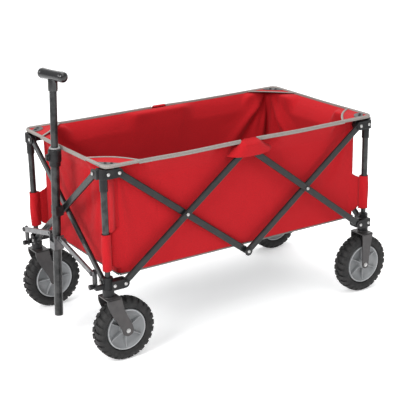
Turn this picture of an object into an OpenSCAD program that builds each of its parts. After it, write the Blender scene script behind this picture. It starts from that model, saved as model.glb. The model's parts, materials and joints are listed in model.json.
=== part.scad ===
// Folding camp wagon: a scissor frame with telescoping corner posts, two casters in front,
// two fixed wheels behind, a sprung-open cloth tub and a telescoping pull handle.
// X runs along the wagon with the handle at -X, left is -Y, Z is up from the ground,
// and the origin is on the ground under the middle of the frame. Sizes are in millimetres.

/* [Scissor frame] */
// Distance between neighbouring scissor pivots, along a side and across an end
half_span = 404; // [330:1:490]
// Height of the upper pivots above the lower ones, open
pivot_rise = 306; // [255:1:370]
// Height of the lower pivots above the tops of the wheels
pivot_clear = 48; // [44:1:80]
// Width of a scissor arm's flat face
arm_w = 19; // [14:0.5:24]
// Thickness of a scissor arm
arm_t = 9; // [7:0.5:12]
// Wall of a scissor arm's tube
arm_wall = 1.3; // [0.8:0.1:2]
// Washer gap between neighbouring layers of arms
arm_gap = 1; // [0.6:0.1:3]
// Diameter of a pivot pin
pin_d = 7; // [5:0.5:9]
// Diameter of a rivet head
head_d = 13; // [10:0.5:16]
// Thickness of a rivet head
head_t = 2; // [1:0.25:3]
// Radial clearance of a pin in its bore
pin_gap = 0.2; // [0.1:0.05:0.5]

/* [Corner posts] */
// Distance of a post behind its side pivot
post_setback = 40; // [36:1:60]
// Distance of a post outside its end pivot
post_inset = 20; // [20:0.5:30]
// Diameter of the outer post tube
outer_post_d = 18; // [16:0.5:21]
// Wall of the post tubes
post_wall = 1.2; // [0.8:0.1:2]
// Radial clearance between the post tubes
post_gap = 0.4; // [0.3:0.1:1]
// Height of the outer tube's end above the lower pivots, open
outer_post_lift = 74; // [50:1:110]

/* [Corner brackets] */
// Height of a bracket's fork plates
bracket_h = 26; // [22:1:34]
// Thickness of a bracket's fork plates
plate_t = 3; // [2:0.25:5]
// Clearance on each side of an arm in a bracket
fork_gap = 0.5; // [0.3:0.1:1]
// Wall of a bracket's socket round the post
socket_wall = 5; // [3:0.5:6]
// Depth of the collar under an upper bracket
collar_drop = 34; // [20:1:50]

/* [Wheels] */
// Diameter of a wheel
wheel_d = 178; // [140:1:215]
// Width of a tyre
wheel_w = 46; // [36:1:56]
// Thickness of a tyre, from tread to hub
tyre_t = 30; // [22:1:36]
// Rounding of a tyre's shoulders
shoulder_r = 11; // [6:1:14]
// Diameter of an axle
axle_d = 10; // [8:0.5:12]
// Gap between a hub and each fork leg
hub_gap = 1; // [0.5:0.25:2]
// Thickness of a fork's plates
fork_t = 3.5; // [2.5:0.5:5]
// Distance of a caster's axle behind its swivel
caster_trail = 41; // [30:1:50]
// Distance of a rear axle in front of its post
rear_lead = 12; // [6:1:20]
// Number of ribs on a hub's face
rib_count = 6; // [5:1:8]

/* [Pull handle] */
// Height of the handle's pivot above the lower pivots
yoke_lift = 76; // [66:1:95]
// Distance of the handle's pivot in front of the posts
handle_out = 37; // [35:0.5:44]
// Lean of the stowed handle towards the tub, in degrees
handle_lean = 2; // [0:0.5:3]
// Diameter of the handle's outer tube
handle_d = 24; // [22:0.5:26]
// Wall of the handle's outer tube
handle_wall = 1.5; // [1:0.1:2]
// Length of the outer tube under its pivot
handle_drop = 234; // [190:1:250]
// Length of the outer tube above its pivot
handle_rise = 254; // [210:1:300]
// Length of inner tube that shows when pulled out
handle_reach = 178; // [140:1:215]
// Length of inner tube that stays inside the outer one
handle_overlap = 80; // [60:1:100]
// Diameter of the clamp collar
collar_d = 37; // [33:1:38]
// Length of the clamp collar
collar_h = 53; // [40:1:60]
// Diameter of the grip
grip_d = 29; // [24:1:34]
// Length of the grip
grip_len = 100; // [85:1:125]
// Turn of the grip about the handle, in degrees
grip_turn = 15; // [0:1:20]

/* [Yoke] */
// Distance of a link's inner pivot from the middle
link_in = 38; // [32:0.5:40]
// Distance of a link's outer pivot outside the end pivots
link_out = 10; // [6:0.5:14]
// Height of a link's outer pivot above the lower pivots
link_lift = 36; // [32:1:42]
// Width of a link
link_w = 15; // [12:0.5:16]
// Thickness of a link
link_t = 7; // [5:0.5:8]

/* [Cloth tub] */
// Thickness of the cloth, with its lining
cloth_t = 2.5; // [1.5:0.25:3]
// Gap between the cloth and the frame
cloth_gap = 5; // [3:0.5:8]
// Height of the tub's floor above the lower pivots
floor_lift = 17; // [15:1:30]
// Height of the rim's band
rim_h = 12; // [8:1:18]
// Distance of the tub's end walls behind the corner sockets
end_room = 22; // [2:1:30]
// Diameter of the piping along the tub's lower edge
piping_d = 5; // [3:0.5:6]
// Height of a post's cloth sleeve
sleeve_h = 103; // [80:1:124]

/* [Hidden] */
$fn = 48;

// Round pieces that touch without a fit keep this far apart
skin = 0.05;

// Pivots: the scissor arms of a side and of an end are all alike
pivot_low = wheel_d + pivot_clear;
pivot_high = pivot_low + pivot_rise;
end_y = half_span / 2;
arm_len = sqrt(half_span * half_span + pivot_rise * pivot_rise);
arm_angle = atan2(pivot_rise, half_span);
post_x = half_span + post_setback;
post_y = end_y + post_inset;

// Layers of arms: 1 is the outermost of a side's three and of an end's two
layer_step = arm_t + arm_gap;
inmost_y = post_y + 7;
function side_layer(k) = inmost_y + (3 - k) * layer_step;
function end_layer(k) = post_x + 1.5 + (2 - k) * layer_step;
slot_half = arm_t / 2 + fork_gap;
limb_half = slot_half + plate_t;

inner_post_d = outer_post_d - 2 * post_wall - 2 * post_gap;
socket_d = outer_post_d + 2 * socket_wall;
outer_post_bottom = pivot_low + outer_post_lift;
inner_post_top = pivot_high - 8;
cap_h = 2;

// Wheels
axle_z = wheel_d / 2;
hub_d = wheel_d - 2 * tyre_t;
leg_in = wheel_w / 2 + 1 + hub_gap;
crown_z = wheel_d + 8;
stem_d = 12;
boss_bottom = crown_z + fork_t + 3;
boss_top = pivot_low - bracket_h / 2;
rear_out = 4;

// Handle, along its own axis from the pivot
handle_x = post_x + handle_out;
yoke_z = pivot_low + yoke_lift;
handle_bore_d = handle_d - 2 * handle_wall;
inner_tube_d = handle_bore_d - 1;
clip_z = (pivot_low + pivot_high) / 2;
clip_h = 26;
clip_gap = 0.5;
hub_side = handle_d / 2 + 1;
ear_front = handle_x - 1;
link_front = ear_front + 1;
link_dy = end_y + link_out - link_in;
link_dz = yoke_lift - link_lift;
link_len = sqrt(link_dy * link_dy + link_dz * link_dz);
link_angle = atan2(link_dz, link_dy);

// Tub: the cloth hangs inside the arms, and its rim stands out over the brackets
wall_y = side_layer(3) - arm_t / 2 - cloth_gap;
wall_x = post_x - socket_d / 2 - end_room;
floor_z = pivot_low + floor_lift;
hem_y = wall_y - cloth_t / 2;
lip_z = pivot_high + bracket_h / 2 + 4;
rim_bottom = pivot_high + bracket_h / 2 + cap_h + 0.5;
rim_y = side_layer(3) + layer_step + arm_t / 2 - 0.5;
rim_x = post_x + outer_post_d / 2 - 3;

steel = [0.20, 0.20, 0.21];
plastic = [0.13, 0.13, 0.14];
red = [0.72, 0.12, 0.14];

// Puts a piece made for the rear right corner into any corner
module at_corner(sx, sy) {
    mirror([1 - sx, 0, 0]) mirror([0, 1 - sy, 0]) children();
}

// A rod along Y, between two distances from the middle
module rod_y(d, y0, y1) {
    translate([0, y0, 0]) rotate([-90, 0, 0]) cylinder(d = d, h = y1 - y0);
}

// A rod along X
module rod_x(d, x0, x1) {
    translate([x0, 0, 0]) rotate([0, 90, 0]) cylinder(d = d, h = x1 - x0);
}

module rounded_rect(w, h, r) {
    square([w - 2 * r, h], center = true);
    square([w, h - 2 * r], center = true);
    for (x = [-1, 1], y = [-1, 1])
        translate([x * (w / 2 - r), y * (h / 2 - r)]) circle(r = r);
}

// ---- Scissor arms ----

// Where an arm takes a pin's bore: 0 is its start, 1 its end
module arm_bores(places) {
    for (p = places)
        translate([p * arm_len, 0, 0]) rod_y(pin_d + 2 * pin_gap, -arm_t, arm_t);
}

// A rivet through this arm (its own layer at y = 0) and the next one inwards
module arm_rivet(place) {
    translate([place * arm_len, 0, 0]) {
        rod_y(pin_d, -layer_step - arm_t / 2 - head_t / 2, arm_t / 2 + head_t / 2);
        rod_y(head_d, arm_t / 2, arm_t / 2 + head_t);
        rod_y(head_d, -layer_step - arm_t / 2 - head_t, -layer_step - arm_t / 2 - skin);
    }
}

// A flat tube with round ends, along +X in the plane y = 0
module arm(bores, rivets) {
    inside = arm_w - 2 * arm_wall;
    difference() {
        union() {
            translate([0, -arm_t / 2, -arm_w / 2]) cube([arm_len, arm_t, arm_w]);
            for (x = [0, arm_len]) translate([x, 0, 0]) rod_y(arm_w, -arm_t / 2, arm_t / 2);
        }
        translate([-arm_w, arm_wall - arm_t / 2, -inside / 2])
            cube([arm_len + 2 * arm_w, arm_t - 2 * arm_wall, inside]);
        arm_bores(bores);
    }
    for (p = rivets) arm_rivet(p);
}

// Arm a: front top to middle bottom. b: front bottom to middle top.
// c: rear bottom to middle top. d: rear top to middle bottom.
module side_arm(sy, front, rising, layer, bores, rivets) {
    color(steel)
        at_corner(front ? -1 : 1, sy)
            translate([half_span, side_layer(layer), rising ? pivot_low : pivot_high])
                mirror([1, 0, 0])
                    rotate([0, rising ? -arm_angle : arm_angle, 0])
                        arm(bores, rivets);
}

module side_arm_a(sy) {
    side_arm(sy, true, false, 3, [0, 0.5, 1], []);
}

module side_arm_b(sy) {
    side_arm(sy, true, true, 2, [0, 1], [0.5]);
}

module side_arm_c(sy) {
    side_arm(sy, false, true, 1, [0], [0.5, 1]);
}

module side_arm_d(sy) {
    side_arm(sy, false, false, 2, [0, 0.5], [1]);
}

// The inner arm rises from left to right; the outer one falls and holds the middle rivet
module end_arm(sx, outer) {
    color(steel)
        mirror([1 - sx, 0, 0])
            translate([end_layer(outer ? 1 : 2), -end_y, outer ? pivot_high : pivot_low])
                rotate([0, 0, 90]) mirror([0, 1, 0])
                    rotate([0, outer ? arm_angle : -arm_angle, 0])
                        arm(outer ? [0, 1] : [0, 0.5, 1], outer ? [0.5] : []);
}

// ---- Corner brackets and posts ----

// A fork and its pin, built at the side pivot of the rear right corner
module side_limb(layer) {
    y = side_layer(layer);
    inner = wall_y + 1.5;
    translate([half_span, 0, 0]) {
        difference() {
            union() {
                translate([0, inner, -bracket_h / 2])
                    cube([post_setback, y + limb_half - inner, bracket_h]);
                rod_y(bracket_h, inner, y + limb_half);
            }
            translate([-bracket_h, y - slot_half, -bracket_h])
                cube([bracket_h + arm_w / 2 + 1.5, 2 * slot_half, 2 * bracket_h]);
        }
        rod_y(pin_d, inner + plate_t / 2, y + limb_half);
        rod_y(head_d, y + limb_half - skin, y + limb_half + head_t);
    }
}

module end_limb(layer) {
    x = end_layer(layer);
    translate([x, end_y, 0]) {
        translate([-limb_half, 0, -bracket_h / 2]) cube([2 * limb_half, post_inset, bracket_h]);
        rod_x(bracket_h, -limb_half, limb_half);
    }
}

module end_slot(layer) {
    translate([end_layer(layer) - slot_half, end_y - bracket_h, -bracket_h])
        cube([2 * slot_half, bracket_h + arm_w / 2 + 1, 2 * bracket_h]);
}

module end_pin(layer) {
    x = end_layer(layer);
    translate([x, end_y, 0]) {
        rod_x(pin_d, -limb_half, limb_half);
        rod_x(head_d, limb_half - skin, limb_half + head_t);
    }
}

// A post's socket with a fork for the side arm and a fork for the end arm
module corner_fork(side, end, up, down) {
    difference() {
        union() {
            translate([post_x, post_y, -bracket_h / 2 - down])
                cylinder(d = socket_d, h = bracket_h + up + down);
            end_limb(end);
        }
        end_slot(end);
    }
    end_pin(end);
    side_limb(side);
}

// Ear in front of a front lower bracket, with the yoke link's pin and a lock knob
module link_ear(end) {
    y = end_y + link_out;
    ear_t = 5;
    ear_back = ear_front - ear_t;
    limb_face = end_layer(end) + slot_half + plate_t / 2;
    translate([limb_face, end_y + arm_w / 2 + 1.5, -bracket_h / 2])
        cube([ear_back - limb_face + 1, post_inset - arm_w / 2, bracket_h / 2]);
    translate([ear_back, y - 10, -bracket_h / 2]) cube([ear_t, 20, link_lift + bracket_h / 2]);
    translate([0, y, link_lift]) {
        rod_x(20, ear_back, ear_front);
        rod_x(pin_d, ear_back, link_front + link_t);
        rod_x(head_d, link_front + link_t + skin, link_front + link_t + head_t);
        rod_x(pin_d, link_front + link_t, link_front + link_t + head_t);
    }
    translate([0, y - 4, -4]) {
        rod_x(6, ear_back, ear_front + 4);
        rod_x(14, ear_front + 3, ear_front + 13);
    }
}

// The lower bracket: its boss carries a caster's stem in front, a fixed fork behind
module lower_bracket(sx, sy) {
    front = sx < 0;
    side = front ? 2 : 1;
    end = sy < 0 ? 2 : 1;
    color(plastic)
        at_corner(sx, sy)
            difference() {
                union() {
                    translate([0, 0, pivot_low]) {
                        corner_fork(side, end, 7, 0);
                        if (front) link_ear(end);
                    }
                    translate([post_x, post_y, boss_bottom])
                        cylinder(d = 32, h = boss_top - boss_bottom);
                }
                translate([post_x, post_y, boss_top])
                    cylinder(d = inner_post_d + 2 * skin, h = bracket_h + 20);
                if (front) translate([post_x, post_y, boss_bottom - 1])
                    cylinder(d = stem_d + 2 * pin_gap, h = boss_top - boss_bottom - 4);
            }
}

module inner_post(sx, sy) {
    color(steel)
        at_corner(sx, sy)
            translate([post_x, post_y, boss_top + skin])
                difference() {
                    cylinder(d = inner_post_d, h = inner_post_top - boss_top);
                    translate([0, 0, 10])
                        cylinder(d = inner_post_d - 2 * post_wall, h = inner_post_top - boss_top);
                }
}

// The upper bracket: a moulded cap with a collar that runs down the outer tube
module upper_bracket(sx, sy) {
    side = sx < 0 ? 3 : 2;
    end = sy < 0 ? 1 : 2;
    collar_bottom = pivot_high - bracket_h / 2 - collar_drop;
    color(plastic)
        at_corner(sx, sy)
            difference() {
                union() {
                    translate([0, 0, pivot_high]) corner_fork(side, end, cap_h, 0);
                    translate([post_x, post_y, collar_bottom])
                        cylinder(d = outer_post_d + 4, h = collar_drop + 1);
                }
                translate([post_x, post_y, collar_bottom - 1])
                    cylinder(d = outer_post_d + 2 * skin, h = collar_drop + bracket_h + 1);
            }
}

module outer_post(sx, sy) {
    h = pivot_high + bracket_h / 2 - skin - outer_post_bottom;
    color(steel)
        at_corner(sx, sy)
            translate([post_x, post_y, outer_post_bottom])
                difference() {
                    cylinder(d = outer_post_d, h = h);
                    translate([0, 0, -1])
                        cylinder(d = outer_post_d - 2 * post_wall, h = h - 1);
                }
}

// ---- Wheels and forks ----

module tyre(x, y) {
    color([0.07, 0.07, 0.07])
        translate([x, y, axle_z])
            rotate([90, 0, 0])
                rotate_extrude($fn = 96)
                    translate([axle_z - tyre_t / 2 + skin, 0])
                        rounded_rect(tyre_t, wheel_w, shoulder_r);
}

module wheel_hub(x, y) {
    rim_w = wheel_w - 12;
    rim_t = 7;
    rib_in = axle_d / 2 + 5;
    color([0.42, 0.43, 0.44])
        translate([x, y, axle_z])
            difference() {
                union() {
                    rotate([90, 0, 0])
                        rotate_extrude($fn = 96)
                            translate([(hub_d - rim_t) / 2, 0]) square([rim_t, rim_w], center = true);
                    rod_y(hub_d - rim_t, -2.5, 2.5);
                    rod_y(axle_d + 18, -wheel_w / 2 - 1, wheel_w / 2 + 1);
                    for (i = [0:rib_count - 1])
                        rotate([0, i * 360 / rib_count, 0])
                            translate([rib_in, -rim_w / 2 + 4, -1.5])
                                cube([hub_d / 2 - rib_in - rim_t / 2, rim_w - 8, 3]);
                }
                rod_y(axle_d + 2 * pin_gap, -wheel_w, wheel_w);
            }
}

// The axle bolt and the two legs of a fork, given a leg's outline in X and Z
module fork_legs(lead) {
    for (s = [-1, 1])
        translate([0, s * (leg_in + fork_t / 2), 0])
            rotate([90, 0, 0]) linear_extrude(height = fork_t, center = true) children();
    translate([-lead, 0, axle_z]) {
        rod_y(axle_d, -leg_in - fork_t / 2, leg_in + fork_t / 2);
        for (s = [0, 1]) mirror([0, s, 0])
            rod_y(axle_d + 5, leg_in + fork_t - skin, leg_in + fork_t + 3);
    }
}

module fork_crown(x0, x1) {
    outer = leg_in + fork_t;
    translate([x0, -outer, crown_z]) cube([x1 - x0, 2 * outer, fork_t]);
}

// Front fork: swivels on its stem, with legs that sweep back to the axle
module caster_fork(sy) {
    color(steel)
        at_corner(-1, sy)
            translate([post_x, post_y, 0]) {
                fork_crown(-26, 18);
                translate([0, 0, crown_z]) cylinder(d = stem_d, h = boss_top - crown_z - 6);
                translate([0, 0, crown_z]) cylinder(d = 30, h = fork_t + 2);
                fork_legs(caster_trail) {
                    polygon([
                        [-26, crown_z + fork_t], [18, crown_z + fork_t], [16, crown_z - 18],
                        [1 - caster_trail + 11, axle_z - 2], [-caster_trail - 12, axle_z + 4],
                        [-caster_trail - 6, axle_z + 30], [-30, crown_z - 20]
                    ]);
                    translate([-caster_trail, axle_z]) circle(r = 13);
                }
            }
}

// Rear fork: fixed under its bracket, with straight legs
module rear_fork(sy) {
    color(steel)
        at_corner(1, sy)
            translate([post_x, post_y + rear_out, 0]) {
                fork_crown(-26, 14);
                translate([0, -rear_out, crown_z]) cylinder(d = 30, h = boss_bottom - crown_z - skin);
                fork_legs(rear_lead) {
                    polygon([
                        [-26, crown_z + fork_t], [14, crown_z + fork_t], [10, crown_z - 16],
                        [9 - rear_lead, axle_z], [-9 - rear_lead, axle_z], [-24, crown_z - 16]
                    ]);
                    translate([-rear_lead, axle_z]) circle(r = 12);
                }
            }
}

// ---- Handle and yoke ----

// Puts a piece made along +Z from the handle's pivot into its leaning place
module on_handle() {
    translate([-handle_x, 0, yoke_z]) rotate([0, handle_lean, 0]) children();
}

module handle_outer_tube() {
    color(steel)
        on_handle()
            difference() {
                translate([0, 0, -handle_drop]) cylinder(d = handle_d, h = handle_drop + handle_rise);
                translate([0, 0, 4 - handle_drop])
                    cylinder(d = handle_bore_d, h = handle_drop + handle_rise);
                rod_y(pin_d + 2 * pin_gap, -handle_d, handle_d);
            }
}

module handle_collar() {
    top = handle_rise + 3;
    color(plastic)
        on_handle()
            difference() {
                union() {
                    translate([0, 0, top - collar_h]) cylinder(d = collar_d, h = collar_h);
                    translate([0, 0, top - collar_h / 2]) rod_x(12, -collar_d / 2 - 9, 0);
                }
                translate([0, 0, top - collar_h - 1])
                    cylinder(d = handle_d + 2 * skin, h = collar_h - 2);
                translate([0, 0, top - collar_h]) cylinder(d = inner_tube_d + 0.8, h = collar_h + 1);
            }
}

module handle_inner_tube() {
    bottom = handle_rise - handle_overlap;
    color(steel)
        on_handle()
            translate([0, 0, bottom])
                difference() {
                    cylinder(d = inner_tube_d, h = handle_overlap + handle_reach + 6);
                    translate([0, 0, -1])
                        cylinder(d = inner_tube_d - 2.4, h = handle_overlap + handle_reach + 8);
                }
}

// A T grip, moulded on the top of the inner tube
module handle_grip() {
    neck_h = 34;
    neck_z = handle_rise + handle_reach - neck_h + grip_d / 2;
    grip_z = neck_z + neck_h + grip_d / 2 - 6;
    end_r = 5;
    color(plastic)
        on_handle()
            rotate([0, 0, grip_turn])
                difference() {
                    union() {
                        translate([0, 0, neck_z]) cylinder(d1 = 27, d2 = 25, h = neck_h);
                        translate([0, 0, grip_z])
                            rotate([90, 0, 0])
                                rotate_extrude()
                                    intersection() {
                                        rounded_rect(grip_d, grip_len, end_r);
                                        translate([0, -grip_len]) square([grip_d, 2 * grip_len]);
                                    }
                    }
                    translate([0, 0, neck_z - 1])
                        cylinder(d = inner_tube_d + 2 * skin,
                                 h = handle_rise + handle_reach + 6 + skin - neck_z + 1);
                }
}

// An open clip on the front scissor's middle rivet, which holds the handle upright
module handle_clip() {
    base_x = end_layer(1) + arm_t / 2 + head_t + 0.3;
    inner_w = handle_d + 2 * clip_gap;
    wall = 3;
    rise = clip_z - yoke_z;
    cheek = 8;
    color(plastic)
        on_handle()
            translate([0, 0, rise - clip_h / 2]) {
                difference() {
                    translate([-cheek, -inner_w / 2 - wall, 0])
                        cube([handle_x - base_x - rise * tan(handle_lean) + cheek,
                              inner_w + 2 * wall, clip_h]);
                    translate([0, 0, -1]) cylinder(d = inner_w, h = clip_h + 2);
                    translate([-handle_d, -inner_w / 2, -1]) cube([handle_d, inner_w, clip_h + 2]);
                }
            }
}

// The yoke's hub: a channel round the handle with an ear for each link. Its top stays low,
// because it rises towards the clip as the wagon folds.
module yoke_hub() {
    side_t = 3;
    hub_top = 6;
    hub_drop = 34;
    web_x = handle_d / 2 + 1 + side_t;
    color([0.45, 0.45, 0.46])
        on_handle() {
            for (s = [-1, 1]) {
                translate([-web_x, s * (hub_side + side_t / 2) - side_t / 2, -hub_drop])
                    cube([web_x + 14, side_t, hub_top + hub_drop]);
                translate([1, s > 0 ? hub_side : -link_in - 10, -10])
                    cube([5, link_in + 10 - hub_side, 10 + hub_top]);
            }
            translate([-web_x, -hub_side - side_t / 2, -hub_drop])
                cube([side_t, 2 * hub_side + side_t, hub_drop - 12]);
            rod_y(pin_d, -hub_side - side_t / 2, hub_side + side_t / 2);
            for (s = [0, 1]) mirror([0, s, 0])
                rod_y(head_d, hub_side + side_t - skin, hub_side + side_t + head_t);
        }
}

// A link from a lower bracket's ear up to the yoke's hub
module yoke_link(sy) {
    color([0.62, 0.63, 0.65])
        at_corner(-1, sy)
            translate([link_front + link_t / 2, end_y + link_out, pivot_low + link_lift])
                rotate([-link_angle, 0, 0])
                    difference() {
                        union() {
                            translate([-link_t / 2 + skin, -link_len, -link_w / 2])
                                cube([link_t - 2 * skin, link_len, link_w]);
                            for (y = [0, -link_len]) translate([0, y, 0])
                                rod_x(link_w, skin - link_t / 2, link_t / 2 - skin);
                        }
                        for (y = [0, -link_len]) translate([0, y, 0])
                            rod_x(pin_d + 2 * pin_gap, -link_t, link_t);
                    }
}

// ---- Cloth ----

module tub_side(sy) {
    color(red)
        mirror([0, 1 - sy, 0]) {
            translate([-wall_x + cloth_t + 0.5, wall_y, floor_z])
                mirror([0, 1, 0])
                    cube([2 * (wall_x - cloth_t - 0.5), cloth_t, lip_z - floor_z + 0.1]);
            translate([-rim_x + cloth_t + 0.5, wall_y - cloth_t, lip_z])
                cube([2 * (rim_x - cloth_t - 0.5), rim_y - wall_y + cloth_t, cloth_t]);
            translate([-rim_x, rim_y - cloth_t, rim_bottom]) cube([2 * rim_x, cloth_t, rim_h]);
            translate([0, hem_y, floor_z])
                rod_x(piping_d, -wall_x + cloth_t + 0.5, wall_x - cloth_t - 0.5);
        }
}

module tub_end(sx) {
    lip_y = wall_y - cloth_t - 0.5;
    band_y = rim_y - cloth_t - 0.5;
    color(red)
        mirror([1 - sx, 0, 0]) {
            translate([wall_x - cloth_t, -lip_y, floor_z])
                cube([cloth_t, 2 * lip_y, lip_z - floor_z + 0.1]);
            translate([wall_x - cloth_t, -lip_y, lip_z])
                cube([rim_x - wall_x + cloth_t, 2 * lip_y, cloth_t]);
            translate([rim_x - cloth_t, -lip_y, rim_bottom]) cube([cloth_t, 2 * lip_y, rim_h]);
        }
}

module tub_floor(sy) {
    color([0.15, 0.15, 0.16])
        mirror([0, 1 - sy, 0])
            translate([-wall_x + cloth_t + 0.5, 0.5, floor_z])
                cube([2 * (wall_x - cloth_t - 0.5), hem_y - piping_d / 2 - 1, cloth_t]);
}

module post_sleeve(sx, sy) {
    color(red)
        at_corner(sx, sy)
            translate([post_x, post_y, pivot_low + bracket_h / 2 + 25])
                difference() {
                    cylinder(d = outer_post_d + 4.4, h = sleeve_h);
                    translate([0, 0, -1]) cylinder(d = outer_post_d + 1.4, h = sleeve_h + 2);
                }
}

front_wheel_x = caster_trail - post_x;
rear_wheel_x = post_x - rear_lead;
rear_wheel_y = post_y + rear_out;

lower_bracket(-1, -1);  // lower_bracket_fl
lower_bracket(-1, 1);  // lower_bracket_fr
lower_bracket(1, -1);  // lower_bracket_rl
lower_bracket(1, 1);  // lower_bracket_rr
inner_post(-1, -1);  // inner_post_fl
inner_post(-1, 1);  // inner_post_fr
inner_post(1, -1);  // inner_post_rl
inner_post(1, 1);  // inner_post_rr
upper_bracket(-1, -1);  // upper_bracket_fl
upper_bracket(-1, 1);  // upper_bracket_fr
upper_bracket(1, -1);  // upper_bracket_rl
upper_bracket(1, 1);  // upper_bracket_rr
outer_post(-1, -1);  // outer_post_fl
outer_post(-1, 1);  // outer_post_fr
outer_post(1, -1);  // outer_post_rl
outer_post(1, 1);  // outer_post_rr
side_arm_a(-1);  // side_arm_left_a
side_arm_b(-1);  // side_arm_left_b
side_arm_c(-1);  // side_arm_left_c
side_arm_d(-1);  // side_arm_left_d
side_arm_a(1);  // side_arm_right_a
side_arm_b(1);  // side_arm_right_b
side_arm_c(1);  // side_arm_right_c
side_arm_d(1);  // side_arm_right_d
end_arm(-1, false);  // end_arm_front_inner
end_arm(-1, true);  // end_arm_front_outer
end_arm(1, false);  // end_arm_rear_inner
end_arm(1, true);  // end_arm_rear_outer
caster_fork(-1);  // caster_fork_left
caster_fork(1);  // caster_fork_right
rear_fork(-1);  // rear_fork_left
rear_fork(1);  // rear_fork_right
tyre(front_wheel_x, -post_y);  // tyre_fl
tyre(front_wheel_x, post_y);  // tyre_fr
tyre(rear_wheel_x, -rear_wheel_y);  // tyre_rl
tyre(rear_wheel_x, rear_wheel_y);  // tyre_rr
wheel_hub(front_wheel_x, -post_y);  // wheel_hub_fl
wheel_hub(front_wheel_x, post_y);  // wheel_hub_fr
wheel_hub(rear_wheel_x, -rear_wheel_y);  // wheel_hub_rl
wheel_hub(rear_wheel_x, rear_wheel_y);  // wheel_hub_rr
handle_outer_tube();
handle_collar();
handle_inner_tube();
handle_grip();
handle_clip();
yoke_hub();
yoke_link(-1);  // yoke_link_left
yoke_link(1);  // yoke_link_right
tub_side(-1);  // tub_left
tub_side(1);  // tub_right
tub_end(-1);  // tub_front
tub_end(1);  // tub_rear
tub_floor(-1);  // tub_floor_left
tub_floor(1);  // tub_floor_right
post_sleeve(-1, -1);  // post_sleeve_fl
post_sleeve(-1, 1);  // post_sleeve_fr
post_sleeve(1, -1);  // post_sleeve_rl
post_sleeve(1, 1);  // post_sleeve_rr
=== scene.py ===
import json
import math

import bmesh
import bpy
from mathutils import Matrix, Vector, noise

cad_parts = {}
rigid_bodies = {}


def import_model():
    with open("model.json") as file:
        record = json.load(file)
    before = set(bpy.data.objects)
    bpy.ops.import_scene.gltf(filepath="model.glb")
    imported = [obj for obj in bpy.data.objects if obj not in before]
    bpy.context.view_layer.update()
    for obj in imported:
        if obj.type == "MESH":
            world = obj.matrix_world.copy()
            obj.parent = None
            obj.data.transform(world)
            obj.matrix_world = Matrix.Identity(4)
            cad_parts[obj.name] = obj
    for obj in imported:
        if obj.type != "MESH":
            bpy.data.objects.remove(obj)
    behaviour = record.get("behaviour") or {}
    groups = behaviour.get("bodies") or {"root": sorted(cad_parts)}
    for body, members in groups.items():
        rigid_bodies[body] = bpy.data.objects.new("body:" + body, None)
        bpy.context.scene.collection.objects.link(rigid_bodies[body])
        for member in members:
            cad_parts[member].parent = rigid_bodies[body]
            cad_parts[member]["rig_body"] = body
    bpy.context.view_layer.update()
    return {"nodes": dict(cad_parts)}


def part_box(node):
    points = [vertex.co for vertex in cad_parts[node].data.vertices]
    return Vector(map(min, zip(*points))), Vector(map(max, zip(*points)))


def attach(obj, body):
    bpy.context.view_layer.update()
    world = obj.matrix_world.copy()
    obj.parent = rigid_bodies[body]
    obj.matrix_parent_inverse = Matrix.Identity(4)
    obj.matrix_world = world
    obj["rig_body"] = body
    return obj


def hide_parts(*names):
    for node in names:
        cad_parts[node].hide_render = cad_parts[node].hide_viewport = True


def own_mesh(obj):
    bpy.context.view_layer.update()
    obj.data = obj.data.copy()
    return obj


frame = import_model()
scene = bpy.context.scene


# ---- Studio ----
# The wagon stands on a plain pale floor that sweeps up behind it. A wide soft key light
# comes from in front of the handle, with a weaker fill, a top light and a small front light.

CAMERA_AT = (-1.7432, -2.7114, 1.3889)
camera_data = bpy.data.cameras.new("camera")
camera_data.lens = 102
camera_data.sensor_width = 36
camera_data.shift_x = -0.007
camera_data.shift_y = -0.0015
camera = bpy.data.objects.new("camera", camera_data)
scene.collection.objects.link(camera)
view_right = Vector((0.8374544, -0.54625625, -0.01656017))
view_up = Vector((0.18563354, 0.25582952, 0.94873149))
view_back = Vector((-0.51401393, -0.79759349, 0.31564904))
camera.matrix_world = Matrix.Translation(CAMERA_AT) @ Matrix(
    (view_right, view_up, view_back)
).transposed().to_4x4()
scene.camera = camera
scene.view_settings.view_transform = "Standard"


def add_node(tree, kind, wires=None, **options):
    """Adds a shader node, sets its options, and fills or links its inputs."""
    made = tree.nodes.new("ShaderNode" + kind)
    for name, value in options.items():
        setattr(made, name, value)
    for socket, value in (wires or {}).items():
        if isinstance(value, bpy.types.NodeSocket):
            tree.links.new(value, made.inputs[socket])
        else:
            made.inputs[socket].default_value = value
    return made


def ranged(tree, value, low, high, to_low=0.0, to_high=1.0):
    """Stretches a value's range from low and high to two new ends."""
    values = {
        "Value": value, "From Min": low, "From Max": high, "To Min": to_low, "To Max": to_high
    }
    return add_node(tree, "MapRange", values).outputs[0]


def new_finish(name):
    """A new material, with its nodes and its shader."""
    finish = bpy.data.materials.new(name)
    finish.use_nodes = True
    return finish, finish.node_tree, finish.node_tree.nodes["Principled BSDF"]


LIGHTS_AIM = Vector((0, 0, 0.35))


def soft_light(name, place, size, power):
    lamp = bpy.data.lights.new(name, "AREA")
    lamp.size = size
    lamp.energy = power
    obj = bpy.data.objects.new(name, lamp)
    obj.location = place
    obj.rotation_euler = (LIGHTS_AIM - Vector(place)).to_track_quat("-Z", "Y").to_euler()
    scene.collection.objects.link(obj)


soft_light("key_light", (-2.8, -1.0, 2.0), 1.4, 74)
soft_light("fill_light", (0.5, -2.7, 2.9), 2.2, 33)
soft_light("top_light", (0.3, 0.4, 3.0), 2.6, 57)
soft_light("front_light", (-2.3, -2.6, 1.75), 0.40, 4)

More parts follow.
